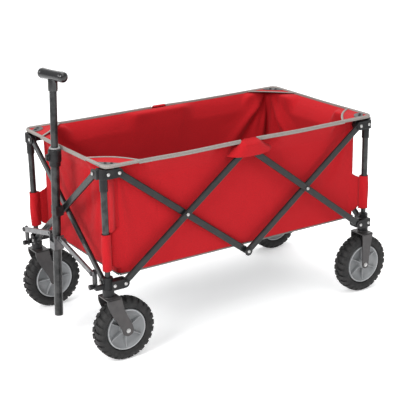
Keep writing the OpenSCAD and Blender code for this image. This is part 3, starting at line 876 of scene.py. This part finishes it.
warp, weft = crest(plain_weave, split.outputs["X"]), crest(plain_weave, split.outputs["Y"])
whole_warp = calc(plain_weave, "FLOOR", split.outputs["X"])
whole_weft = calc(plain_weave, "FLOOR", split.outputs["Y"])
over = calc(plain_weave, "FLOORED_MODULO", calc(plain_weave, "ADD", whole_warp, whole_weft), 2.0)
lift = blended(plain_weave, over, warp, weft)
slubs = add_node(
    plain_weave, "TexNoise", {"Vector": ins.outputs["Cloth"], "Scale": 240.0, "Detail": 3.0}
)
plain_weave.links.new(lift, outs.inputs["Height"])
plain_weave.links.new(slubs.outputs["Fac"], outs.inputs["Shade"])

# Soft creases: handling creases a few centimetres long.
soft_creases, ins, outs = new_group(
    "Soft creases",
    [("Creases per metre", "Float", 16.0), ("Stretch", "Vector", (1.0, 1.0, 0.6))],
    [("Height", "Float")],
)
spot = add_node(soft_creases, "TexCoord").outputs["Object"]
pulled = add_node(
    soft_creases, "VectorMath", {0: spot, 1: ins.outputs["Stretch"]}, operation="MULTIPLY"
)
creases = add_node(
    soft_creases,
    "TexNoise",
    {
        "Vector": pulled.outputs[0], "Scale": ins.outputs[0], "Detail": 3.0, "Roughness": 0.45,
        "Distortion": 0.7,
    },
)
ridge = calc(soft_creases, "ABSOLUTE", calc(soft_creases, "SUBTRACT", creases.outputs["Fac"], 0.5))
soft_creases.links.new(calc(soft_creases, "POWER", ridge, 0.55), outs.inputs["Height"])

# Stitch line: one row of stitches along the cloth, at a set place across it.
stitch_line, ins, outs = new_group(
    "Stitch line",
    [("Cloth", "Vector", (0, 0, 0)), ("Across", "Float", 0.002), ("Stitch", "Float", 0.0042)],
    [("Stitches", "Float")],
)
split = add_node(stitch_line, "SeparateXYZ", {0: ins.outputs["Cloth"]})
THREAD_HALF, THREAD_SHOWS = 0.0005, 0.68
apart = calc(stitch_line, "SUBTRACT", split.outputs["Y"], ins.outputs["Across"])
near = calc(stitch_line, "LESS_THAN", calc(stitch_line, "ABSOLUTE", apart), THREAD_HALF)
count = calc(stitch_line, "DIVIDE", split.outputs["X"], ins.outputs["Stitch"])
sewn = calc(stitch_line, "LESS_THAN", calc(stitch_line, "FRACT", count), THREAD_SHOWS)
stitch_line.links.new(calc(stitch_line, "MULTIPLY", near, sewn), outs.inputs["Stitches"])


def woven(name, colour, thread, threads=1100.0, crease_depth=0.0022, stitches=()):
    """A woven cloth: weave with painted shade in the dips between its threads, slubs, creases, and
    rows of stitches where it is sewn.
    """
    cloth, tree, shader = new_finish(name)
    uv = add_node(tree, "TexCoord").outputs["UV"]
    weave = use_group(tree, plain_weave, {"Cloth": uv, "Threads per metre": threads})
    dye_and_weave_shade = shaded(tree, colour, ranged(tree, weave.outputs["Shade"], 0.3, 0.7, 0.88, 1.10))
    # Painted shade: the dips between the crests of the threads are made darker.
    dye_and_weave_shade = shaded(tree, dye_and_weave_shade, ranged(tree, weave.outputs["Height"], 0.0, 0.7, 0.78, 1.0))
    height = weave.outputs["Height"]
    for across in stitches:
        row = use_group(tree, stitch_line, {"Cloth": uv, "Across": across})
        dye_and_weave_shade = blended(tree, row.outputs[0], dye_and_weave_shade, (*thread, 1))
        height = calc(tree, "MULTIPLY_ADD", row.outputs[0], 3.0, height)
    tree.links.new(dye_and_weave_shade, shader.inputs["Base Color"])
    gloss = ranged(tree, weave.outputs["Shade"], 0.3, 0.7, 0.82, 0.94)
    tree.links.new(gloss, shader.inputs["Roughness"])
    normal = add_node(
        tree, "Bump", {"Height": height, "Distance": 0.00012, "Strength": 0.7}
    ).outputs[0]
    if crease_depth:
        soft = use_group(tree, soft_creases, {})
        normal = add_node(
            tree, "Bump",
            {"Height": soft.outputs[0], "Distance": crease_depth, "Strength": 0.5, "Normal": normal}
        ).outputs[0]
    tree.links.new(normal, shader.inputs["Normal"])
    shader.inputs["Sheen Weight"].default_value = 0.04
    shader.inputs["Sheen Roughness"].default_value = 0.5
    shader.inputs["Specular IOR Level"].default_value = 0.16
    return cloth


RED, SEAM_THREAD = (0.44, 0.0085, 0.0135), (0.30, 0.01, 0.012)
red_cloth = woven("red_cloth", RED, SEAM_THREAD)
grey_webbing = woven(
    "grey_webbing", (0.26, 0.238, 0.222), (0.40, 0.38, 0.36), threads=520.0, crease_depth=0.0,
    stitches=(0.0022, 0.0098),
)

CLOTH_T = 0.0016
tub_lo, tub_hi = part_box("tub_rear")
side_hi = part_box("tub_right")[1]
floor_z = tub_lo.z
wall_x = tub_lo.x + 0.0025
wall_y = side_y[3] - ARM_T / 2 - 0.005
rim_x, rim_y = tub_hi.x, side_hi.y
rim_top = tub_hi.z
rim_low = rim_top - 0.012
lip_z = pivot_high + 0.013 + 0.004 + 0.0015


def smooth(t):
    """An even rise from 0 to 1."""
    t = max(0.0, min(1.0, t))
    return t * t * (3 - 2 * t)


def sewn_grid(bm, across, along, point):
    """Adds a grid of quads from point(i, j) and gives it UVs in metres along the cloth."""
    spots = [[Vector(point(i, j)) for j in range(along + 1)] for i in range(across + 1)]
    verts = [[bm.verts.new(p) for p in row] for row in spots]
    middle = across // 2
    us = [[0.0] * (along + 1) for _ in range(across + 1)]
    vs = [[0.0] * (along + 1) for _ in range(across + 1)]
    for j in range(along + 1):
        for i in range(1, across + 1):
            us[i][j] = us[i - 1][j] + (spots[i][j] - spots[i - 1][j]).length
    for i in range(across + 1):
        for j in range(1, along + 1):
            vs[i][j] = vs[i][j - 1] + (spots[i][j] - spots[i][j - 1]).length
    uv = bm.loops.layers.uv.verify()
    for i in range(across):
        for j in range(along):
            face = bm.faces.new(
                (verts[i][j], verts[i + 1][j], verts[i + 1][j + 1], verts[i][j + 1])
            )
            for loop, (a, b) in zip(face.loops, ((i, j), (i + 1, j), (i + 1, j + 1), (i, j + 1))):
                loop[uv].uv = (us[a][b] - us[middle][b], vs[a][b])


def cloth_piece(name, bm, finish, body, stands_for=(), thick=CLOTH_T, outward=None):
    """A cloth sheet: the grid made as thick as the cloth, with the result set in the mesh."""
    mesh = bpy.data.meshes.new(name)
    if outward is not None:
        bm.normal_update()
        facing = sum((f.normal.dot(outward(f.calc_center_median())) for f in bm.faces))
        if facing < 0:
            bmesh.ops.reverse_faces(bm, faces=bm.faces)
    bm.to_mesh(mesh)
    area = sum(f.calc_area() for f in bm.faces)
    bm.free()
    for face in mesh.polygons:
        face.use_smooth = True
    mesh.materials.append(finish)
    obj = bpy.data.objects.new(name, mesh)
    scene.collection.objects.link(obj)
    thicken = obj.modifiers.new("cloth", "SOLIDIFY")
    thicken.thickness = thick
    thicken.offset = -1
    set_mesh(obj)
    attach(obj, body)
    if stands_for:
        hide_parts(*stands_for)
    return obj, area


def set_mesh(obj):
    """Sets what the modifiers make in the piece's own mesh."""
    shown = obj.evaluated_get(bpy.context.evaluated_depsgraph_get())
    made = bpy.data.meshes.new_from_object(shown)
    obj.modifiers.clear()
    obj.data = made


def lip_path(tight, loose, ease, share):
    """(out, height) along the turned-out top of a wall: tight over a bracket, loose between."""

    def along(path):
        at = share * (len(path) - 1)
        k = min(int(at), len(path) - 2)
        four = (Vector(path[max(0, min(len(path) - 1, k + n))]) for n in (-1, 0, 1, 2))
        return curve(*four, at - k)

    return along(tight).lerp(along(loose), ease)


def hanging(s, z, half, seed, pulls, folds):
    """How far the cloth stands in from its plane: fans of folds from the top corners,
    upright folds where it is slack, and a slow unevenness."""
    inward = 0.0
    for hand, deep in ((-1, pulls[0]), (1, pulls[1])):
        dx = half - hand * s
        dz = lip_z + 0.012 - z
        reach = math.hypot(dx, dz)
        angle = math.atan2(dz, dx)
        fade = (1 - math.exp(-reach / 0.05)) * math.exp(-((reach / 0.27) ** 2))
        wave = 0.55 + math.cos(angle * 11.0 + seed + hand * 1.3)
        wave += 0.4 * math.cos(angle * 23 + seed * 2.1)
        inward += deep * fade * wave * smooth((angle - 0.45) / 0.35)
    for at, wide, deep in folds:
        bend = at + 0.10 * (z - 0.45) * math.copysign(1, at)
        fall = smooth((z - 0.27) / 0.16) * (1 - 0.5 * smooth((z - 0.50) / 0.05))
        inward += deep * math.exp(-(((s - bend) / wide) ** 2)) * fall
    inward += 0.0030 * noise.noise(Vector((s * 5.0, z * 6.0, seed)))
    inward += 0.0018 * noise.noise(Vector((s * 11.0 + z * 7.0, z * 9.0 - s * 5.0, seed + 4)))
    edge = smooth((half - abs(s)) / 0.03) * smooth((z - floor_z) / 0.03)
    return max(-0.0028, inward) * edge


ROWS, LIP_ROWS = 34, 12
LIP_FOOT = 0.500
SEAM_ROUND = 0.014


def wall(
    name, node, body, half, out0, reach, grown, turn, seed, pulls, folds, ends, make, clear
):
    """One wall, from the piping to the rim. make(s, out, z) puts a point in place, and
    ends(z) says how far past the corner seam its end reaches towards the posts."""
    tight = [
        (0, LIP_FOOT), (0, 0.530), (0.0005, 0.5445), (0.0045, 0.5490), (0.4 * reach + 0.003, lip_z),
        (reach, lip_z + 0.0008),
    ]
    loose = [
        (0, LIP_FOOT), (0.18 * reach, 0.516), (0.40 * reach, 0.530), (0.64 * reach, 0.541),
        (0.85 * reach, 0.5485), (reach, lip_z + 0.0008),
    ]
    columns = int(half * 2 / 0.0045)

    def seam(share, z, fade):
        """The wall turns round the corner to its seam, where no web holds it out straight."""
        past = abs(share) * half - (half - SEAM_ROUND)
        if past <= 0:
            return share * half, 0.0
        web = min(1.0, ends(z) / 0.02)
        amount = (1 - web) * (1 - fade)
        a = past / SEAM_ROUND * math.radians(turn)
        r = SEAM_ROUND - 0.0018 * smooth((math.degrees(a) - 30) / 20)
        bent = half - SEAM_ROUND + r * math.sin(a)
        s = abs(share) * half * (1 - amount) + bent * amount
        run = ends(z) * smooth(past / SEAM_ROUND)
        return math.copysign(s + run, share), (SEAM_ROUND - r * math.cos(a)) * amount

    def point(i, j):
        share = i / columns * 2 - 1
        if j <= ROWS:
            z = floor_z + (LIP_FOOT - floor_z) * j / ROWS
            s, bent = seam(share, z, 0.0)
            return make(s, out0 - bent - hanging(share * half, z, half, seed, pulls, folds), z)
        u = (j - ROWS) / LIP_ROWS
        s = share * half
        out, z = lip_path(tight, loose, clear(abs(s)), u)
        inward = hanging(s, z, half, seed, pulls, folds) * (1 - smooth(u * 1.6))
        s, bent = seam(share, z, smooth(u * 1.8))
        return make(s + share * grown * smooth(out / reach), out0 + out - bent - inward, z)

    bm = bmesh.new()
    sewn_grid(bm, columns, ROWS + LIP_ROWS, point)
    made, area = cloth_piece(
        name, bm, red_cloth, body, (node,), outward=lambda c: c - Vector((0, 0, c.z))
    )
    return made


sleeve_lo, sleeve_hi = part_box("post_sleeve_fl")


def side_ends(z):
    """A long side runs on as a web to the posts, as tall as the sleeves."""
    above_foot = smooth((z - sleeve_lo.z + 0.002) / 0.006)
    above_top = smooth((z - sleeve_hi.z - 0.001) / 0.006)
    return 0.0205 * above_foot * (1 - above_top)


def no_ends(z):
    """An end wall stops at its corner seam."""
    return 0.0


def side_clear(s):
    """1 where no arm or bracket is under a long side's lip."""
    return smooth((s - 0.075) / 0.05) * smooth((0.345 - s) / 0.05)


def end_clear(s):
    """1 where no bracket is under an end's lip."""
    return smooth((0.125 - s) / 0.04)


walls = {}
for side, hand, body, seed, pulls, folds in (
    ("left", -1, "top_fl", 0.7, (0.0022, 0.0032), ((-0.30, 0.05, 0.002), (0.33, 0.03, 0.003))),
    ("right", 1, "top_fr", 2.9, (0.0030, 0.0090), ((0.05, 0.05, 0.003), (0.355, 0.016, 0.006))),
):
    walls[side] = wall(
        f"cloth_wall_{side}", f"tub_{side}", body, wall_x - 0.001, wall_y, rim_y - wall_y - 0.0012,
        0.026, 45, seed, pulls, folds, side_ends,
        lambda s, out, z, hand=hand: (s, hand * out, z), side_clear,
    )
for end, hand, body, seed, pulls, folds in (
    (
        "front", -1, "top_fl", 5.1, (0.0040, 0.0030),
        (
            (-0.165, 0.012, 0.007), (-0.125, 0.011, 0.006), (-0.070, 0.016, 0.004),
            (0.12, 0.02, 0.003),
        ),
    ),
    ("rear", 1, "top_rl", 1.9, (0.0030, 0.0095), ((0.185, 0.012, 0.006), (0.145, 0.012, 0.005))),
):
    walls[end] = wall(
        f"cloth_wall_{end}", f"tub_{end}", body, wall_y - 0.0006, wall_x, rim_x - wall_x - 0.0012,
        0.0095, 90, seed, pulls, folds, no_ends,
        lambda s, out, z, hand=hand: (hand * out, s, z), end_clear,
    )


# ---- Cloth tub: floor ----
# Dark cloth over a stiff board in two halves that meet along the middle. It is sewn to the
# walls along the piping.

dark_cloth = woven("dark_cloth", (0.045, 0.045, 0.05), (0.1, 0.1, 0.1), crease_depth=0.0010)
MIDDLE_GAP = 0.0003
floors = {}
for side, sy in (("left", -1), ("right", 1)):
    lo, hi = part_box(f"tub_floor_{side}")
    if sy < 0:
        hi.y = -MIDDLE_GAP
    else:
        lo.y = MIDDLE_GAP
    bm = bmesh.new()

    def floor_point(i, j, lo=lo, hi=hi, sy=sy):
        x = lo.x + (hi.x - lo.x) * i / 90
        y = lo.y + (hi.y - lo.y) * j / 26
        near = min(x - lo.x, hi.x - x, y - lo.y, hi.y - y)
        dip = 0.0006 * noise.noise(Vector((x * 8, y * 8, 3))) + 0.0006 * math.sin(x * 19)
        return (x, y, hi.z - 0.0003 + dip * smooth(near / 0.02))

    sewn_grid(bm, 90, 26, floor_point)
    floors[side], area = cloth_piece(
        f"cloth_floor_{side}", bm, dark_cloth, f"floor_{side}",
        (f"tub_floor_{side}",), thick=0.0020, outward=lambda c: Vector((0, 0, 1)),
    )


# ---- Rim binding and piping ----
# A grey webbing is folded over the rim of each wall and sewn through. Grey piping closes
# the lower edge of the tub, on its outside.


def swept(bm, path, section):
    """Sweeps a flat section along a path. section(k, t) gives (out, up) offsets."""
    uv = bm.loops.layers.uv.verify()
    n = len(path)
    rings = []
    run = 0.0
    runs = []
    for k, p in enumerate(path):
        p = Vector(p)
        way = (Vector(path[min(k + 1, n - 1)]) - Vector(path[max(k - 1, 0)])).normalized()
        out = way.cross(Vector((0, 0, 1))).normalized()
        up = out.cross(way)
        if k:
            run += (p - Vector(path[k - 1])).length
        runs.append(run)
        rings.append([bm.verts.new(p + out * a + up * b) for a, b in section(k, k / (n - 1))])
    m = len(rings[0])
    girth = [0.0]
    base = section(0, 0)
    for i in range(m):
        a, b = base[i], base[(i + 1) % m]
        girth.append(girth[-1] + math.hypot(a[0] - b[0], a[1] - b[1]))
    for k in range(n - 1):
        for i in range(m):
            j = (i + 1) % m
            face = bm.faces.new((rings[k][i], rings[k][j], rings[k + 1][j], rings[k + 1][i]))
            for loop, (kk, g) in zip(face.loops, ((k, i), (k, i + 1), (k + 1, i + 1), (k + 1, i))):
                loop[uv].uv = (runs[kk], girth[g])
    bm.faces.new(rings[0][::-1])
    bm.faces.new(rings[-1])


def webbing_section(tall, thick, soften=0.0008):
    """A folded strap standing on its edge, starting at its lower outer corner."""
    h, t, r = tall / 2, thick / 2, soften
    return [
        (t, -h + r), (t, h - 2 * r), (t - r, h - r * 0.4), (0, h), (-t + r, h - r * 0.4),
        (-t, h - 2 * r), (-t, -h + r), (-t + r, -h), (t - r, -h),
    ]


def round_section(r, steps=10):
    """A round cord's section."""
    return [(r * x, r * y) for x, y in circle(steps)]


GUSSET = 0.110
band_mid = (rim_low + rim_top) / 2
band_y, band_x = rim_y - 0.0018, rim_x - 0.0018
piping_grey = woven(
    "piping_grey", (0.17, 0.165, 0.155), (0.4, 0.4, 0.4), threads=700.0, crease_depth=0.0
)
PIPING_R, PIPING_SHORT = 0.0025, 0.004


def binding(name, body, a, b, sway):
    """The webbing over one run of the rim, which dips a little and wanders."""
    bm = bmesh.new()
    count = max(12, int((Vector(b) - Vector(a)).length / 0.012))
    path = []
    for k in range(count + 1):
        p = Vector(a).lerp(Vector(b), k / count)
        mid = math.sin(math.pi * k / count)
        p.z += 0.0011 * noise.noise(Vector((p.x * 7, p.y * 7, sway))) - 0.0010 * mid
        path.append(p)
    swept(bm, path, lambda k, t: webbing_section(0.0120, 0.0034))
    return piece(name, bm, grey_webbing, body, crease=60)


bands = []
for side, sy, body in (("left", -1, "top_fl"), ("right", 1, "top_fr")):
    for part, x0, x1 in (
        ("front", -rim_x + GUSSET - 0.006, -0.024), ("rear", 0.028, rim_x - GUSSET + 0.006)
    ):
        made = binding(
            f"binding_{side}_{part}", body, (x0, sy * band_y, band_mid),
            (x1, sy * band_y, band_mid), sy * 2.0,
        )
        bands.append((made, "X"))
for end, sx, body in (("front", -1, "top_fl"), ("rear", 1, "top_rl")):
    made = binding(
        f"binding_{end}", body, (sx * band_x, -rim_y + GUSSET - 0.004, band_mid),
        (sx * band_x, rim_y - GUSSET + 0.004, band_mid), sx * 5.0
    )
    bands.append((made, "Y"))


def piping(name, body, reach, count, place, way):
    """One run of the cord along the tub's lower edge. place(s) puts a point of it in place."""
    bm = bmesh.new()
    path = [place(-reach + 2 * reach * k / count) for k in range(count + 1)]
    swept(bm, path, lambda k, t: round_section(PIPING_R))
    bands.append((piece(name, bm, piping_grey, body), way))


piping_z = floor_z - 0.0002
for side, sy, body in (("left", -1, "top_fl"), ("right", 1, "top_fr")):
    y = sy * (wall_y - PIPING_R / 2)
    piping(f"piping_{side}", body, wall_x - PIPING_SHORT, 60, lambda s, y=y: (s, y, piping_z), "X")
for end, sx, body in (("front", -1, "top_fl"), ("rear", 1, "top_rl")):
    x = sx * (wall_x - PIPING_R / 2)
    piping(f"piping_{end}", body, wall_y - PIPING_SHORT, 40, lambda s, x=x: (x, s, piping_z), "Y")


# ---- Corner gussets ----
# A red three-cornered pocket slips over each upper bracket. A padded grey edge runs round
# its corner, a strap closes its long edge, and a plate with two screws holds it down.


def padded_edge(swell):
    """The corner's padded edge, fullest at the middle of its run."""
    thick, tall = 0.0026 + 0.0014 * swell, 0.0050 + 0.0006 * swell
    return [(a * thick, b * tall) for a, b in round_section(1.0, 12)]


gusset_red = woven("gusset_red", RED, SEAM_THREAD, crease_depth=0.0012)
plate_grey = hard_finish("plate_grey", (0.040, 0.042, 0.043), (0.12, 0.12, 0.12), 0.38)
screw_black = hard_finish("screw_black", (0.018, 0.018, 0.018), (0.1, 0.1, 0.1), 0.3, metal=0.6)
ROUND, GUSSET_DEEP = 0.020, 0.085
gusset_z = rim_top - 0.0042
PLATE = [
    (-0.026, -0.0085), (0.026, -0.0085), (0.030, -0.001), (0.015, 0.0150), (-0.015, 0.0150),
    (-0.030, -0.001)
]
SCREW_HEAD = [(0, 0.0058), (0.0018, 0.0046), (0.0030, 0.0050), (0.0042, 0.0042), (0.0044, 0.0026)]
for end, sx in (("f", -1), ("r", 1)):
    for side, sy in (("l", -1), ("r", 1)):
        place, body = end + side, "top_" + end + side

        def rim_run(share, inset, sx=sx, sy=sy):
            """A point on the rim's line: 0 is a leg's end on the end rim, 1 on the side rim."""
            leg = GUSSET - ROUND
            arc = ROUND * math.pi / 2
            run = share * (2 * leg + arc)
            if run < leg:
                return Vector((sx * (rim_x - inset), sy * (rim_y - GUSSET + run), 0))
            if run > leg + arc:
                return Vector((sx * (rim_x - ROUND - (run - leg - arc)), sy * (rim_y - inset), 0))
            a = (run - leg) / arc * math.pi / 2
            r = ROUND - inset
            x, y = rim_x - ROUND + r * math.cos(a), rim_y - ROUND + r * math.sin(a)
            return Vector((sx * x, sy * y, 0))

        first, last = rim_run(0, 0.003), rim_run(1, 0.003)

        def gusset_point(i, j):
            edge_at = rim_run(i / 40, 0.003)
            long_edge = first.lerp(last, i / 40)
            bow = math.sin(math.pi * i / 40)
            long_edge = long_edge + (Vector((-sx, -sy, 0)).normalized()) * 0.008 * bow
            p = edge_at.lerp(long_edge, j / 16)
            sag = math.sin(math.pi * j / 16)
            p.z = gusset_z + 0.0030 * bow * smooth(j / 16) - 0.0022 * sag * bow
            p.z += 0.0012 * noise.noise(Vector((p.x * 40, p.y * 40, 2.0))) * sag
            return p

        bm = bmesh.new()
        sewn_grid(bm, 40, 16, gusset_point)
        gusset, area = cloth_piece(
            f"gusset_{place}", bm, gusset_red, body, thick=0.0014,
            outward=lambda c: Vector((0, 0, 1)),
        )
        bm = bmesh.new()
        path = [rim_run(k / 48, 0.0022) + Vector((0, 0, gusset_z - 0.0006)) for k in range(49)]
        swept(bm, path, lambda k, t: padded_edge(math.sin(math.pi * t)))
        edge_roll = piece(f"corner_roll_{place}", bm, grey_webbing, body)
        bm = bmesh.new()
        path = [gusset_point(k, 16) + Vector((0, 0, 0.0004)) for k in range(41)]
        swept(bm, path, lambda k, t: [(a * 0.0034, b * 0.0016) for a, b in round_section(1.0, 10)])
        strap = piece(f"gusset_strap_{place}", bm, grey_webbing, body)
        for soft in (gusset, edge_roll, strap):
            bands.append((soft, "Y-" if sy < 0 else "Y+"))
        middle = Vector((sx * (post_x - 0.020), sy * (post_y - 0.006), gusset_z - 0.0016))
        turn = Matrix.Translation(middle) @ Matrix.Rotation(math.atan2(-sy, sx), 4, "Z")
        bm = bmesh.new()
        prism(bm, smooth_outline(PLATE, cuts=4), 0.0, 0.0028, turn)
        piece(f"corner_plate_{place}", bm, plate_grey, body, ease=0.0007)
        bm = bmesh.new()
        for u in (-0.0085, 0.0085):
            turned(bm, SCREW_HEAD, turn @ Matrix.Translation((u, 0, 0)), 18)
        piece(f"corner_screws_{place}", bm, screw_black, body, crease=50)


# ---- Flaps over the top centre joints ----
# A red flap comes over the rim at the middle of each long side and covers the joint of
# the two arms that meet there.

flap_red = woven("flap_red", RED, SEAM_THREAD, crease_depth=0.0014)
OVER_RIM = 0.15
FLAP_AT, FLAP_LEAN = 0.004, 0.008
FLAP_HALF, FLAP_SPREAD, FLAP_DROP = 0.020, 0.056, 0.0485
for side, sy, body in (("left", -1, "top_fl"), ("right", 1, "top_fr")):

    def flap_point(i, j, sy=sy):
        s = i / 36 * 2 - 1
        t = j / 26
        if t < OVER_RIM:
            k = t / OVER_RIM
            y = rim_y - 0.0052 + 0.0052 * smooth(k) + 0.0006
            z = rim_top - 0.004 + 0.0050 * math.sin(math.pi * 0.5 * k)
            return (FLAP_AT + s * FLAP_HALF, sy * y, z)
        k = (t - OVER_RIM) / (1 - OVER_RIM)
        stand = 0.0148 * smooth(k * 2.8)
        back = (0.008 * smooth(k * 3.0) + 0.021 * smooth(k * 1.6)) * abs(s) ** 5
        y = rim_y + 0.0006 + stand - back
        z = rim_top + 0.0010 - FLAP_DROP * k + (0.0035 if s < 0 else 0.0090) * k * s * s
        return (FLAP_AT + FLAP_LEAN * k + s * (FLAP_HALF + FLAP_SPREAD * k), sy * y, z)

    bm = bmesh.new()
    sewn_grid(bm, 36, 26, flap_point)
    flap, area = cloth_piece(
        f"joint_flap_{side}", bm, flap_red, body, thick=0.0012,
        outward=lambda c, sy=sy: Vector((0, sy, 0.2)),
    )
    bands.append((flap, "X"))


# ---- Post sleeves ----
# A red cloth tube round each post, open at both ends, with a short web of the same cloth
# that joins it to the tub's corner seam.

SLEEVE_R, SLEEVE_ROUND, WEB_SHARE = 0.0123, 0.096, 0.12
sleeve_red = woven("sleeve_red", RED, SEAM_THREAD, crease_depth=0.0012, stitches=(0.0032,))
for end, sx in (("f", -1), ("r", 1)):
    for side, sy in (("l", -1), ("r", 1)):
        place, body = end + side, "top_" + end + side
        lo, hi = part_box("post_sleeve_" + place)
        cx, cy = (lo.x + hi.x) / 2, (lo.y + hi.y) / 2
        hem = Vector((sx * (wall_x + 0.0185), sy * (wall_y - 0.0012)))

        def sleeve_point(i, j, lo=lo, hi=hi, cx=cx, cy=cy, sx=sx, sy=sy, hem=hem):
            """Leaves the seam, goes once round the post, and comes back to the seam."""
            z = lo.z + (hi.z - lo.z) * j / 24
            belly = 0.0009 * math.sin(j / 24 * math.pi)
            r = SLEEVE_R + belly + 0.0005 * math.sin(i * 0.5 + j * 0.35)
            flat_way = math.atan2(hem.y - cy, hem.x - cx)
            share = i / 44
            round_post = min(1, max(0, (share - WEB_SHARE) / (1 - 2 * WEB_SHARE)))
            turn = math.radians(48 + 264 * round_post)
            on = Vector((cx + r * math.cos(flat_way + turn), cy + r * math.sin(flat_way + turn)))
            if share < WEB_SHARE:
                on = hem.lerp(on, share / WEB_SHARE)
            elif share > 1 - WEB_SHARE:
                on = (hem + Vector((sx * 0.0006, -sy * 0.0012))).lerp(on, (1 - share) / WEB_SHARE)
            return (on.x, on.y, z)

        bm = bmesh.new()
        sewn_grid(bm, 44, 24, sleeve_point)
        sleeve, area = cloth_piece(
            f"cloth_sleeve_{place}", bm, sleeve_red, body, ("post_sleeve_" + place,),
            thick=0.0010, outward=lambda c, cx=cx, cy=cy: Vector((c.x - cx, c.y - cy, 0)),
        )


# ---- The soft parts ----
# The frame draws together along both its ways. Each soft part is listed with a way it lies
# along, and is given its own copy of its mesh.

bands += [(walls["left"], "X"), (walls["right"], "X"), (walls["front"], "Y"), (walls["rear"], "Y")]
bands += [(floors["left"], "X"), (floors["right"], "X")]
for made, way in bands:
    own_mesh(made)
